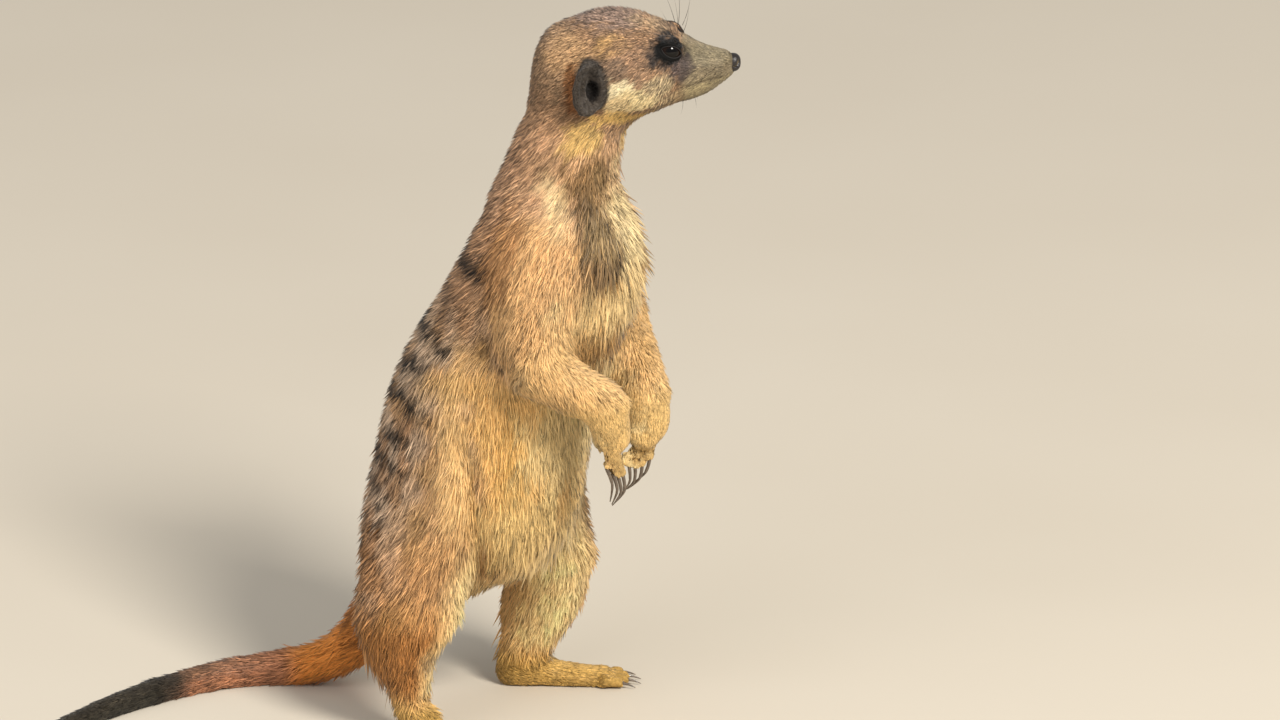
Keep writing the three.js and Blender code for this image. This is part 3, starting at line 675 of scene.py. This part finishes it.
def paint(places, normals, owner, web, marks):
    """The colour of skin and coat at each point, and how strongly single hairs differ there."""
    ground = np.array([from_srgb(column("ground", part)) for part in FLESH])[owner]
    ragged = 0.1 * CLOUD(places) + 0.08 * PATCHWORK(places) + 0.12 * SPECKLE(places)
    side = np.abs(places[:, 1] - BODY_MIDDLE)
    height = places[:, 2]
    arm = web.evened(belongs(owner, "upper_arm", "forearm", "forepaw").astype(float), 8)
    trunk = smooth_step(40, 60, height) * smooth_step(258, 236, height) * (1 - arm)
    rear = -normals[:, 0] + 0.1 * CLOUD(places)
    back = smooth_step(-0.4, 0.5, rear) * trunk
    grey = back * smooth_step(-0.9, 0.6, CLOUD(places + 50)) * smooth_step(185, 150, height)
    across = height + 0.1 * side + 1.1 * CLOUD(places) + 0.8 * PATCHWORK(places)
    band = sum(strong * hump((across - spine) / BAND_HALF) for spine, strong in BANDS)
    band = band * smooth_step(0.0, 0.5, rear) * trunk
    band = smooth_step(0.12, 0.65, band)
    outer = smooth_step(-0.2, 0.7, np.sign(places[:, 1] - BODY_MIDDLE) * normals[:, 1])
    leg = smooth_step(92, 66, height) * smooth_step(12, 24, height) * (places[:, 0] > -45)
    colour = lay_all(web.evened(ground, 30), [
        (BACK["brown"], 0.75 * back),
        (BACK["grey"], 0.65 * grey),
        (BACK["band"], 0.97 * band),
        ("#9a5a20", 0.75 * leg * outer * smooth_step(60, 42, height)),
        ("#8f6030", 0.5 * leg * outer),
        # Pale fur inside the legs, painted paler still as painted light where the far leg lies in shade.
        ("#ffdfa0", 0.9 * leg * (1 - outer) * smooth_step(-0.5, 0.3, normals[:, 0])),
        # Painted shade along the fold between thigh and belly.
        ("#7d5c30", 0.55 * marks["groin"]),
        # Painted shade in the grooves between the toes.
        ("#7d5c34", 0.35 * marks["toes"]),
    ])
    below_head = from_head(places)[:, 2] < -24
    signed = np.stack([places[:, 0], places[:, 1] - BODY_MIDDLE, height], 1)
    patched = lay_patches(colour, on_body(places), BODY_PATCHES, ragged)
    patched = lay_patches(patched, signed, ONE_SIDED_PATCHES, ragged)
    colour = np.where(below_head[:, None], patched, colour)
    at = from_head(places)
    at[:, 1] = np.abs(at[:, 1])
    near_head = web.evened(belongs(owner, "head", "muzzle", "lower_jaw").astype(float), 20)[:, None]
    headed = lay_patches(colour, at, HEAD_PATCHES, ragged)
    colour = colour * (1 - near_head) + headed * near_head
    # Behind each ear: orange-brown fur at its rear edge, and painted shade below the ear.
    behind_ear = np.hypot((at[:, 0] + 35.5) / 3.6, (at[:, 2] + 17) / 12) + ragged
    colour = lay_all(colour, [
        ("#4c3d30", 0.6 * marks["mouth"]),
        ("#74461f", 0.8 * smooth_step(1.1, 0.6, behind_ear) * (at[:, 1] > 10)),
    ])
    colour = np.where(belongs(owner, "ear")[:, None], ground, colour)
    low = smooth_step(30, 15, height)
    tail = smooth_step(-70, -98, places[:, 0]) * low
    tip = smooth_step(-4, -30, places[:, 1] + 4 * CLOUD(places)) * low * (places[:, 0] < -60)
    colour = lay_all(colour, [
        # Painted shade in each ear's cup, darker the deeper it is.
        ("#120e0c", 0.85 * smooth_step(-0.5, -2.4, marks["cup"])),
        ("#4a3a2a", 0.75 * tail * smooth_step(0, 0.8, normals[:, 2])),
        ("#2b271f", 0.9 * tip),
    ])
    fine = web.evened(belongs(owner, *FINE_COATED).astype(float), 8)
    grizzle = np.clip(0.3 + 0.6 * back + 0.35 * near_head[:, 0] - 0.9 * band, 0, 1) * (1 - 0.8 * fine)
    tone = 1 + 0.07 * CLOUD(places) + 0.06 * PATCHWORK(places) + 0.05 * SPECKLE(places)
    return np.clip(colour * tone[:, None], 0.004, 0.95), grizzle


def make_skin():
    """The skin's mesh and what the coat needs to know at each of its points."""
    mesh = flesh_shape()
    keep_largest(mesh)
    places = places_of(mesh)
    refine(mesh, face_region(places) | near_toes(places))
    places = places_of(mesh)
    refine(mesh, gap_to(places, eye_spots.values()) < EYE_REGION)
    web = Web(mesh)
    places = places_of(mesh)
    owner = nearest_part(places)
    rounds = web.evened(values_of("even")[owner], 10)
    for done in range(int(rounds.max())):
        near = web.evened(places, 1, 1.0)
        places = places + (0.5 * np.clip(rounds - done, 0, 1))[:, None] * (near - places)
    triangles = triangles_of(mesh)
    normals = web.evened(normals_at(places, triangles), 3)
    on_floor = smooth_step(1.6, 0.7, places[:, 2])
    deep = web.evened(values_of("deep")[owner], 12)
    fold = groin_fold(places)
    places = places - normals * ((deep + GROIN_FOLD["deep"] * fold) * (1 - on_floor))[:, None]
    places = web.evened(places, 2, 0.3)
    normals = normals_at(places, triangles)
    cup = np.zeros(len(places))
    for side in SIDES:
        places = shape_lids(places, side)
        places, on_ear, hollow = shape_ear(places, side)
        owner[on_ear] = FLESH.index("ear_" + side)
        cup += hollow
    places, between = shape_toes(places, normals)
    toe_gap = gap_to(places, [root for _, _, _, roots, _ in PAWS for root in roots])
    on_toes = smooth_step(11, 6, toe_gap)
    places = places + on_toes[:, None] * (web.evened(places, 5, 0.5) - places)
    places = web.evened(places, 1, 0.3)
    places, groove = shape_mouth(places, normals)
    places[:, 2] = np.maximum(places[:, 2], 0)
    set_places(mesh, places)
    normals = unit(web.evened(normals_at(places, triangles), 2))
    short = (0.2 + 0.8 * smooth_step(1, 3, eye_gap(places))) * (0.35 + 0.65 * smooth_step(5, 13, toe_gap))
    flow = lie_of_hair(places, normals, owner, web)
    marks = {"mouth": groove, "cup": cup, "groin": fold, "toes": between}
    colours, grizzle = paint(places, normals, owner, web, marks)
    return dict(
        mesh=mesh, places=places, normals=normals, triangles=triangles, owner=owner, flow=flow,
        colours=colours, grizzle=grizzle, cup=cup, on_toes=on_toes, deep=deep * short,
        long=web.evened(values_of("long")[owner], 12) * (0.35 + 0.65 * short),
        wide=web.evened(values_of("wide")[owner], 6),
    )


surface = make_skin()
surface["mesh"].shade_smooth()
write_colours(surface["mesh"], surface["colours"])


# ---- The coat ----

def bare_share(places, normals, cup):
    """The share of tufts left out: all on the eyes, nose pad and soles, and most in the cups of the ears."""
    soles = (places[:, 2] < 1.2) & (normals[:, 2] < -0.5)
    bare = (eye_gap(places) < 1) | (length(places - middle("nose")) < 3.4) | soles
    return np.where(bare, 1.0, np.where(cup < -0.6, 0.8, 0.0))


def both_sides(*kinds):
    return tuple(f"{kind}_{side}" for kind in kinds for side in SIDES)


# Each piece of the coat: the parts it covers, which side of the head's middle, and its number of tufts.
COAT_PIECES = {
    "coat_face": (("muzzle", "lower_jaw"), 0, 20000),
    "coat_head_left": (("head", "ear_left", "ear_right"), 1, 35000),
    "coat_head_right": (("head", "ear_left", "ear_right"), -1, 35000),
    "coat_neck": (("neck",), 0, 36000),
    "coat_chest": (("chest",), 0, 44000),
    "coat_belly": (("belly",), 0, 48000),
    "coat_rump": (("rump", "thigh_left", "thigh_right"), 0, 49000),
    "coat_arms": (both_sides("upper_arm", "forearm", "forepaw"), 0, 47000),
    "coat_legs": (both_sides("shank", "hind_foot"), 0, 32000),
    "coat_tail": (("tail_base", "tail_middle", "tail_tip"), 0, 22000),
}
CLUMP = 7  # tufts that lean together
PALEST = 0.9  # the brightest any hair can be, in linear light
PATCH = 0.003  # how long a tuft's patch is on the map for baking, as a share of the map
# A tuft's corners are its root, its two sides and its tip.
TUFT_FACES = np.array([[0, 1, 2], [3, 2, 1], [1, 0, 3], [0, 2, 3]])


def spread_roots(parts, side, count):
    """Roots scattered over the skin of some parts: corners of their triangle and shares of each."""
    triangles = surface["triangles"]
    wanted = np.isin(surface["owner"], [FLESH.index(p) for p in parts])
    triangles = triangles[wanted[triangles].sum(1) >= 2]
    if side:
        triangles = triangles[from_head(surface["places"][triangles[:, 0]])[:, 1] * side >= 0]
    a, b, c = (surface["places"][triangles[:, i]] for i in range(3))
    area = length(np.cross(b - a, c - a))
    wide = values_of("wide")[surface["owner"][triangles[:, 0]]]
    long = values_of("long")[surface["owner"][triangles[:, 0]]]
    weight = area / (wide * long ** 0.5)
    picked = triangles[chance.choice(len(triangles), count, p=weight / weight.sum())]
    u, v = chance.random((2, count))
    over = u + v > 1
    u, v = np.where(over, 1 - u, u), np.where(over, 1 - v, v)
    return picked, np.stack([1 - u - v, u, v], 1)


# Where the coat is loose and long: along X, out from the middle plane, up; half sizes; how much.
SHAGGY = [
    ((76, 14, 205), (16, 18, 32), 0.9),
    ((82, 6, 170), (12, 20, 12), 0.5),
    ((44, 10, 76), (16, 24, 12), 0.8),
    ((-8, 44, 36), (12, 16, 16), 1.0),
    ((-4, 33, 26), (10, 12, 12), 1.0),
    ((-22, 22, 62), (14, 20, 16), 0.4),
    ((-18, 16, 95), (14, 26, 50), 0.3),
]


def shagginess(places):
    body = on_body(places)
    return np.max([much * np.exp(-(((body - at) / half) ** 2).sum(1)) for at, half, much in SHAGGY], axis=0)


def unwrapped(roots, owner, parts):
    """Where each root lies on the skin laid flat: each part is unrolled round its long axis onto its own
    strip of the square."""
    flat = np.zeros((len(roots), 2))
    strips = len(parts)
    for row, part in enumerate(parts):
        mine = owner == FLESH.index(part)
        if not mine.any():
            continue
        away = roots[mine] - roots[mine].mean(0)
        axes = np.linalg.svd(away, full_matrices=False)[2]
        along = away @ axes[0]
        around = np.arctan2(away @ axes[1], away @ axes[2]) / (2 * np.pi) + 0.5
        reach = (along - along.min()) / max(np.ptp(along), 1e-6)
        flat[mine] = np.stack([0.01 + 0.975 * reach, (row + 0.03 + 0.93 * around) / strips], 1)
    return flat


def tip_shades(count, grizzle):
    """How bright each tuft is at its root, middle and tip. Guard hairs are banded, so tips differ most."""
    body = np.exp(chance.normal(0, 0.24 + 0.26 * grizzle))
    dark_tipped = chance.random(count) < 0.32 * grizzle
    # Pale tips are partly the hair's pale bands and partly a painted glint.
    pale_glint_tipped = chance.random(count) < 0.12 + 0.34 * grizzle
    tip = np.where(dark_tipped, 0.25, np.where(pale_glint_tipped, 2.0, 1.1))
    return np.stack([0.6 * body, body * np.where(dark_tipped, 0.7, 1), body * tip], 1)


class SkinPoints:
    """The skin's points in a tree, to lay tufts along it."""

    def __init__(self):
        self.tree = kdtree.KDTree(len(surface["places"]))
        for index, place in enumerate(surface["places"]):
            self.tree.insert(place, index)
        self.tree.balance()

    def nearest(self, places):
        return np.array([self.tree.find(p)[1] for p in places])

    def colour(self, places):
        return surface["colours"][self.nearest(places)]

    def lay(self, places, height):
        """The same places moved to a height over the skin nearest to them, and its colour there."""
        found = self.nearest(places)
        foot, up = surface["places"][found], surface["normals"][found]
        lift = ((places - foot) * up).sum(1)
        return places + up * (height - lift)[:, None], surface["colours"][found]


def grow_coat(name, skin_points, material):
    """One piece of the coat: tufts rooted in the skin, leaning together in clumps along the lie."""
    parts, head_side, count = COAT_PIECES[name]
    count //= 1
    picked, shares = spread_roots(parts, head_side, count)

    def at_root(values):
        corner = values[picked]
        return (corner * (shares if values.ndim == 1 else shares[:, :, None])).sum(1)

    roots = at_root(surface["places"])
    owner = surface["owner"][picked[:, 0]]
    owner = np.where(np.isin(owner, [FLESH.index(p) for p in parts]), owner, FLESH.index(parts[0]))
    normals = unit(at_root(surface["normals"]))
    kept = chance.random(count) >= bare_share(roots, normals, at_root(surface["cup"]))
    kept &= chance.random(count) >= 0.65 * at_root(surface["on_toes"])
    picked, shares, roots, owner, normals = (v[kept] for v in (picked, shares, roots, owner, normals))
    count = len(roots)
    flow = unit(along_skin(at_root(surface["flow"]), normals))
    across = np.cross(normals, flow)
    turn = chance.normal(0, 1, count) * values_of("loose")[owner]
    way = flow * np.cos(turn)[:, None] + across * np.sin(turn)[:, None]
    long = at_root(surface["long"]) * np.exp(chance.normal(0, 0.22, count))
    wide = at_root(surface["wide"]) * np.exp(chance.normal(0, 0.15, count))
    deep = at_root(surface["deep"])
    shaggy = shagginess(roots)
    loose = np.where(chance.random(count) < 0.3 * shaggy, shaggy, 0)
    long = long * (1 + 0.8 * loose)
    wide = wide * (1 - 0.35 * loose) * (1 - 0.4 * at_root(surface["on_toes"]))
    # Tufts of a clump lean to the tip of the one in their middle.
    leaders = chance.choice(count, max(count // CLUMP, 1), replace=False)
    tree = kdtree.KDTree(len(leaders))
    for index, leader in enumerate(leaders):
        tree.insert(roots[leader], index)
    tree.balance()
    lead = leaders[np.array([tree.find(p)[1] for p in roots])]
    tips = roots + way * long[:, None]
    lean = chance.uniform(0.25, 0.7, count)[:, None]
    tips = tips * (1 - lean) + (roots[lead] + way[lead] * long[:, None]) * lean
    rise = deep * np.where(chance.random(count) < 0.05, 1.4, chance.uniform(0.55, 1.05, count))
    rise = rise * (1 + 1.1 * loose)
    tips, tip_colour = skin_points.lay(tips, rise)
    middle_colour = skin_points.colour(roots * 0.5 + tips * 0.5)
    middles = roots * 0.6 + tips * 0.4 + normals * (0.4 * wide + 0.12 * rise)[:, None]
    along = unit(tips - roots)
    side = unit(np.cross(normals, along))
    half = side * (wide / 2)[:, None]
    points = np.stack([roots - normals * 0.4, middles - half, middles + half, tips], 1)
    points[:, :, 2] = np.maximum(points[:, :, 2], 0.15)
    faces = (TUFT_FACES[None] + 4 * np.arange(count)[:, None, None]).reshape(-1, 3)
    mesh = mesh_from(name, points.reshape(-1, 3), faces)
    shades = tip_shades(count, at_root(surface["grizzle"]))
    colour = np.stack([middle_colour] * 3 + [tip_colour], 1) * shades[:, [0, 1, 1, 2], None]
    colour = colour * np.minimum(1, PALEST / colour.max(2, keepdims=True))
    write_colours(mesh, colour.reshape(-1, 3))
    lift = [normals, unit(normals * 0.8 - side * 0.6), unit(normals * 0.8 + side * 0.6), normals]
    lift = np.stack(lift, 1)
    mesh.normals_split_custom_set_from_vertices(lift.reshape(-1, 3))
    flat = unwrapped(roots, owner, parts)
    patch = np.array([[0, 0], [0.4, -0.5], [0.4, 0.5], [1, 0]]) * PATCH
    uv = (flat[:, None, :] + patch[None]).reshape(-1, 2)
    layer = mesh.uv_layers.new(name="OFBake")
    layer.uv.foreach_set("vector", uv[faces.ravel()].astype(np.float32).ravel())
    show(name, mesh, material)


# ---- Materials ----

def add_node(tree, kind, inputs=(), **settings):
    """Adds a node with its settings. An input is a value, or the output of another node that feeds it."""
    made = tree.nodes.new(kind)
    for name, value in settings.items():
        setattr(made, name, value)
    for name, value in dict(inputs).items():
        if isinstance(value, bpy.types.NodeSocket):
            tree.links.new(value, made.inputs[name])
        else:
            made.inputs[name].default_value = value
    return made


def new_material(name):
    """A new material and its node tree, emptied."""
    material = bpy.data.materials.new(name)
    material.use_nodes = True
    material.node_tree.nodes.clear()
    return material, material.node_tree


def noise(tree, scale, **inputs):
    """Noise that stays with the object, finer as the scale goes up."""
    place = add_node(tree, "ShaderNodeTexCoord")
    inputs = {"Vector": place.outputs["Object"], "Scale": scale, **inputs}
    return add_node(tree, "ShaderNodeTexNoise", inputs).outputs["Fac"]


def bumps(tree, height, strength, depth):
    """Normals raised by a pattern, to a depth in mm."""
    inputs = {"Height": height, "Strength": strength, "Distance": depth * MM}
    return add_node(tree, "ShaderNodeBump", inputs).outputs["Normal"]


def mixed(tree, share, first, second):
    """The output that goes from one colour to another by a share."""
    mix = add_node(tree, "ShaderNodeMix", {
        "Factor": share, "A": rgba(first), "B": rgba(second),
    }, data_type="RGBA")
    return mix.outputs["Result"]


def finished(material, inputs):
    shader = add_node(material.node_tree, "ShaderNodeBsdfPrincipled", inputs)
    add_node(material.node_tree, "ShaderNodeOutputMaterial", {"Surface": shader.outputs["BSDF"]})
    return material


def guard_hair():
    """Guard hair is smooth thin keratin, so it is satin, with a faint sheen where it is seen edge on."""
    material, tree = new_material("guard hair")
    marking = add_node(tree, "ShaderNodeAttribute", attribute_name="marking")
    return finished(material, {
        "Base Color": marking.outputs["Color"],
        "Roughness": 0.55,
        "Specular IOR Level": 0.3,
        "Sheen Weight": 0.15,
        "Sheen Roughness": 0.4,
    })


def furred_skin():
    """Skin under fur is matt; it is darker partly for its short underfur and partly as painted shade between
    the hairs. The fine bump is the underfur's nap.
    """
    material, tree = new_material("furred skin")
    marking = add_node(tree, "ShaderNodeAttribute", attribute_name="marking")
    nap = noise(tree, 900.0, Detail=3.0, Roughness=0.6)
    shade = add_node(tree, "ShaderNodeMapRange", {
        "Value": nap, "From Min": 0.3, "From Max": 0.7, "To Min": 0.5, "To Max": 0.85,
    })
    colour = add_node(tree, "ShaderNodeVectorMath", {
        0: marking.outputs["Color"], "Scale": shade.outputs["Result"],
    }, operation="SCALE")
    return finished(material, {
        "Base Color": colour.outputs["Vector"],
        "Roughness": 0.8,
        "Specular IOR Level": 0.2,
        "Normal": bumps(tree, nap, 0.6, 0.3),
    })


show("skin", surface["mesh"], furred_skin(), FLESH)
hair = guard_hair()
skin_points = SkinPoints()
for name in COAT_PIECES:
    grow_coat(name, skin_points, hair)


# ---- Eyes, lids' edges, nose pad, claws and whiskers ----

def ball_mesh(rings):
    """A ball of radius one with its pole along the third axis: places and triangles."""
    shape = bmesh.new()
    bmesh.ops.create_uvsphere(shape, u_segments=rings * 2, v_segments=rings, radius=1)
    bmesh.ops.triangulate(shape, faces=shape.faces)
    places = np.array([v.co for v in shape.verts])
    faces = np.array([[v.index for v in f.verts] for f in shape.faces])
    shape.free()
    return places, faces


def tube(line, radii, sides, closed=False):
    """A round tube along a line of points."""
    line, count = np.array(line), len(line)
    if closed:
        way = unit(np.roll(line, -1, 0) - np.roll(line, 1, 0))
    else:
        way = unit(np.gradient(line, axis=0))
    first = unit(np.cross(way, np.where(np.abs(way[:, 2:]) < 0.9, UP, FRONT)))
    second = np.cross(way, first)
    turns = np.arange(sides) * 2 * np.pi / sides
    round_line = first[:, None] * np.cos(turns)[:, None] + second[:, None] * np.sin(turns)[:, None]
    places = line[:, None] + round_line * np.reshape(radii, (-1, 1, 1))
    rows = np.arange(count if closed else count - 1)[:, None]
    here, beside = np.arange(sides)[None], (np.arange(sides)[None] + 1) % sides
    above = (rows + 1) % count
    low, high = rows * sides, above * sides
    quads = np.stack([low + here, low + beside, high + beside, high + here], -1).reshape(-1, 4)
    return places.reshape(-1, 3), np.concatenate([quads[:, :3], quads[:, [0, 2, 3]]])


def join_parts(parts):
    """One set of places and faces from several."""
    starts = np.cumsum([0] + [len(places) for places, _ in parts])
    return np.concatenate([p for p, _ in parts]), np.concatenate([f + n for (_, f), n in zip(parts, starts)])


def wet_eye():
    """An eye behind its film of tears mirrors the light; its iris is dark brown and fibrous, and its pupil
    near black and longer than it is tall."""
    material, tree = new_material("wet eye")
    pupil = add_node(tree, "ShaderNodeAttribute", attribute_name="from_pupil")
    edge = add_node(tree, "ShaderNodeMath", {0: noise(tree, 2500.0), 1: 0.8}, operation="MULTIPLY")
    spread = add_node(tree, "ShaderNodeMath", {
        0: pupil.outputs["Fac"], 1: edge.outputs["Value"],
    }, operation="ADD")
    reach = add_node(tree, "ShaderNodeMath", {0: spread.outputs["Value"], 1: 0.2}, operation="MULTIPLY")
    ring = add_node(tree, "ShaderNodeValToRGB", {"Fac": reach.outputs["Value"]})
    stops = ((0.4, "#030202"), (0.5, "#190d07"), (0.78, "#120905"), (0.88, "#060404"))
    ring.color_ramp.elements.remove(ring.color_ramp.elements[1])
    for index, (spot, code) in enumerate(stops):
        stop = ring.color_ramp.elements[0] if index == 0 else ring.color_ramp.elements.new(spot)
        stop.position = spot
        stop.color = rgba(code)
    return finished(material, {
        "Base Color": ring.outputs["Color"],
        "Roughness": 0.04,
        "IOR": 1.34,
    })


def moist_leather(name, code, pebble, gloss):
    """Bare moist skin, such as a nose pad, is dark, pebbled and part glossy."""
    material, tree = new_material(name)
    place = add_node(tree, "ShaderNodeTexCoord")
    grain = add_node(tree, "ShaderNodeTexVoronoi", {
        "Vector": place.outputs["Object"], "Scale": 1 / (pebble * MM),
    })
    return finished(material, {
        "Base Color": rgba(code),
        "Roughness": gloss,
        "Normal": bumps(tree, grain.outputs["Distance"], 0.5, 0.12),
    })


def claw_horn():
    """Claw is horn: smooth, dark grey-brown and finely mottled, with a soft gloss."""
    material, tree = new_material("claw horn")
    colour = mixed(tree, noise(tree, 700.0, Detail=2.0), "#2e2722", "#7b6c5c")
    return finished(material, {"Base Color": colour, "Roughness": 0.32, "Coat Weight": 0.2})


def whisker_hair():
    """Whiskers are stiff smooth keratin, near black on this animal, with a clear gloss."""
    material, _ = new_material("whisker hair")
    return finished(material, {"Base Color": rgba("#2a221d"), "Roughness": 0.35})


def add_eyes():
    rims = moist_leather("lid skin", "#0b0807", 0.35, 0.8)
    wet = wet_eye()
    for side in SIDES:
        axes = np.array(eye_axes(side))
        places, faces = ball_mesh(48)
        turned = np.arccos(np.clip(places[:, 2], -1, 1))
        bulge = 1 + 0.05 * smooth_step(0.75, 0.2, turned)
        placed = eye_spots[side] + (places * (EYE_RADIUS * bulge)[:, None]) @ axes
        if np.linalg.det(axes) < 0:
            faces = faces[:, ::-1]
        mesh = mesh_from("eyeball_" + side, placed, faces)
        from_pupil = np.hypot(places[:, 0] * 0.72, places[:, 1]) * EYE_RADIUS
        layer = mesh.attributes.new("from_pupil", "FLOAT", "POINT")
        layer.data.foreach_set("value", from_pupil.astype(np.float32))
        show("eyeball_" + side, mesh, wet, ["eye_" + side])
        turns = np.linspace(0, 2 * np.pi, 72, endpoint=False)
        x = LIDS["long"] * np.cos(turns)
        y = np.sign(np.sin(turns)) * lid_edge(x)
        out = np.sqrt(np.maximum((EYE_RADIUS + 0.3) ** 2 - x**2 - y**2, 0))
        line = eye_spots[side] + np.stack([x, y, out], 1) @ axes
        mesh = mesh_from("lid_edge_" + side, *tube(line, 0.28 * np.ones(len(line)), 8, closed=True))
        show("lid_edge_" + side, mesh, rims)


# Its middle and its halves ahead, across and up, from between the eyes.
NOSE = dict(at=(24.8, 0, -8.6), half=(3.1, 3.3, 3.5))


def add_nose():
    """A rounded pad with a comma-shaped nostril in each side and a groove down its middle."""
    places, faces = ball_mesh(56)
    ball = places[:, [2, 0, 1]]
    shape = np.sign(ball) * np.abs(ball) ** 0.85
    ahead, left, up = (shape * NOSE["half"]).T
    out = np.abs(left) - 1.9
    nostril = np.exp(-((out / 0.7) ** 2) - ((up - 0.2 + 0.35 * out) / 1.0) ** 2)
    slit = np.exp(-(((np.abs(left) - 2.8) / 0.9) ** 2) - ((up + 0.9) / 0.4) ** 2)
    groove = hump(left / 0.28) * smooth_step(1.2, 0.2, up)
    depth = (1.5 * nostril + 0.9 * slit + 0.45 * groove) * smooth_step(0.2, 1.2, ahead)
    inward = np.stack([-np.ones_like(left), -0.45 * np.sign(left) * (nostril + slit), np.zeros_like(left)], 1)
    pad = np.stack([ahead, left, up], 1) + inward * depth[:, None]
    mesh = mesh_from("nose_pad", on_head(*NOSE["at"]) + pad @ HEAD_AXES, faces)
    show("nose_pad", mesh, moist_leather("nose leather", "#1d1817", 0.4, 0.42), ["nose"])


# How each kind of claw is drawn from the frame's. long: the share of its length that is kept; hook: how far
# it bows, as a share of its length; gather: how far its tip goes towards the middle of the row, as a share.
CLAWS = {"fore": dict(long=1.0, hook=0.11, gather=0.7), "hind": dict(long=0.8, hook=0.0, gather=0.0)}


def add_claws():
    """Each claw of the frame, rounded and drawn to its own curve."""
    horn = claw_horn()
    for limb, side, paw, roots, tips in PAWS:
        for number, (root, tip) in enumerate(zip(roots, tips), 1):
            name = f"claw_{limb}_{side}_{number}"
            shape = welded(name)
            mesh = bpy.data.meshes.new(name + "_rounded")
            shape.to_mesh(mesh)
            shape.free()
            places = places_of(mesh) - claw_ends(name, paw)[0] + root
            span = tip - root
            along = np.clip((places - root) @ span / (span @ span), 0, 1)[:, None]
            draw = CLAWS[limb]
            places = root + (places - root) * draw["long"]
            arc = draw["hook"] * (1.6 * np.sin(np.pi * along) - along**2)
            places = places + FRONT * np.linalg.norm(span) * arc
            inward = draw["gather"] * (along**2 - 0.35 * along * (1 - along))
            places = places + (roots.mean(0) - root) * inward
            places = places + unit(paw - roots.mean(0)) * 0.8
            set_places(mesh, places)
            mesh = modified(name + "_rounded", mesh, "SUBSURF", levels=2, render_levels=2)
            mesh.shade_smooth()
            show(name + "_rounded", mesh, horn, [name])


# Whiskers, from between the eyes in mm: root, way and length, for one side.
WHISKERS = [
    *(((19 - 3 * i, 5.0 + 0.9 * i, -8.5 - 1.5 * j), (-0.2 - 0.12 * i, 1, -0.15 - 0.3 * j), 13 + 2 * i)
      for i in range(4) for j in range(2)),
    ((4, 9.5, 5.8), (0.1, 0.35, 1), 14),
    ((6, 8.5, 5.0), (0.45, 0.3, 1), 11),
    ((2, 10.5, 5.8), (-0.3, 0.4, 1), 10),
    ((-14, 21, -18), (-0.3, 1, -0.5), 10),
    ((6, 5, -21), (0.1, 0.5, -1), 8),
    ((10, 4, -20), (0.4, 0.4, -1), 7),
]


def add_whiskers():
    parts = []
    for s in SIDES.values():
        for (ahead, out, up), way, long in WHISKERS:
            root = on_head(ahead, s * out, up)
            way = head_way(way[0], s * way[1], way[2])
            t = np.linspace(-0.15, 1, 9)[:, None]
            line = root + way * long * t + (0.16 * UP - 0.22 * AHEAD) * long * t * np.abs(t) * 0.8
            parts.append(tube(line, 0.1 * (1.05 - np.clip(t[:, 0], 0, 1)), 5))
    show("whiskers", mesh_from("whiskers", *join_parts(parts)), whisker_hair())


add_eyes()
add_nose()
add_claws()
add_whiskers()


# ---- Floor, light and camera ----

def plaster_floor():
    """A painted plaster floor is matt and pale, with hardly any grain."""
    material, tree = new_material("painted plaster")
    grain = add_node(tree, "ShaderNodeTexNoise", {"Scale": 60.0, "Detail": 2.0})
    colour = mixed(tree, grain.outputs["Fac"], "#cbc1b0", "#d1c8b8")
    return finished(material, {"Base Color": colour, "Roughness": 0.9})


def add_floor():
    half = 6.0  # metres
    mesh = bpy.data.meshes.new("floor")
    corners = [(-half, -half, 0), (half, -half, 0), (half, half, 0), (-half, half, 0)]
    mesh.from_pydata(corners, [], [(0, 1, 2, 3)])
    mesh.materials.append(plaster_floor())
    new_piece("floor", mesh)


def add_softbox(name, way, distance, size, power, colour):
    """A round softbox aimed at the chest: distance and size in metres, power in watts."""
    light = bpy.data.lights.new(name, "AREA")
    light.shape = "DISK"
    light.size = size
    light.energy = power
    light.color = from_srgb(colour)
    lamp = new_piece(name, light)
    aim = Vector(middle("chest") * MM)
    toward = Vector(unit(np.array(way, float)))
    lamp.location = aim + toward * distance
    lamp.rotation_euler = toward.to_track_quat("Z", "Y").to_euler()
    return lamp


# The camera: the way back to it, how far in metres, its lens and sensor in mm, and what it looks at, in mm
# from between the eyes and in the frame's axes.
CAMERA = dict(back=(0.5068, -0.8110, 0.2924), far=5.0, lens=365.6, sensor=36.0, aim=(-16.2, 6.1, -131.7))


def add_camera():
    camera = bpy.data.cameras.new("camera")
    camera.lens = CAMERA["lens"]
    camera.sensor_width = CAMERA["sensor"]
    camera.clip_end = 50
    viewer = new_piece("camera", camera)
    back = Vector(CAMERA["back"]).normalized()
    viewer.location = Vector((between_eyes + np.array(CAMERA["aim"])) * MM) + back * CAMERA["far"]
    viewer.rotation_euler = back.to_track_quat("Z", "Y").to_euler()
    scene.camera = viewer


add_floor()
add_softbox("key", (0.82, -0.42, 0.7), 4, 1.2, 205, "#fffaf2")
add_softbox("fill", (0.0, -1.0, 0.6), 4, 3, 58, "#f6f8ff").visible_glossy = False
world = bpy.data.worlds.new("studio")
world.use_nodes = True
sky = world.node_tree.nodes["Background"]
sky.inputs["Color"].default_value = rgba("#f4f3f1")
sky.inputs["Strength"].default_value = 0.5
scene.world = world
scene.view_settings.view_transform = "Standard"
add_camera()
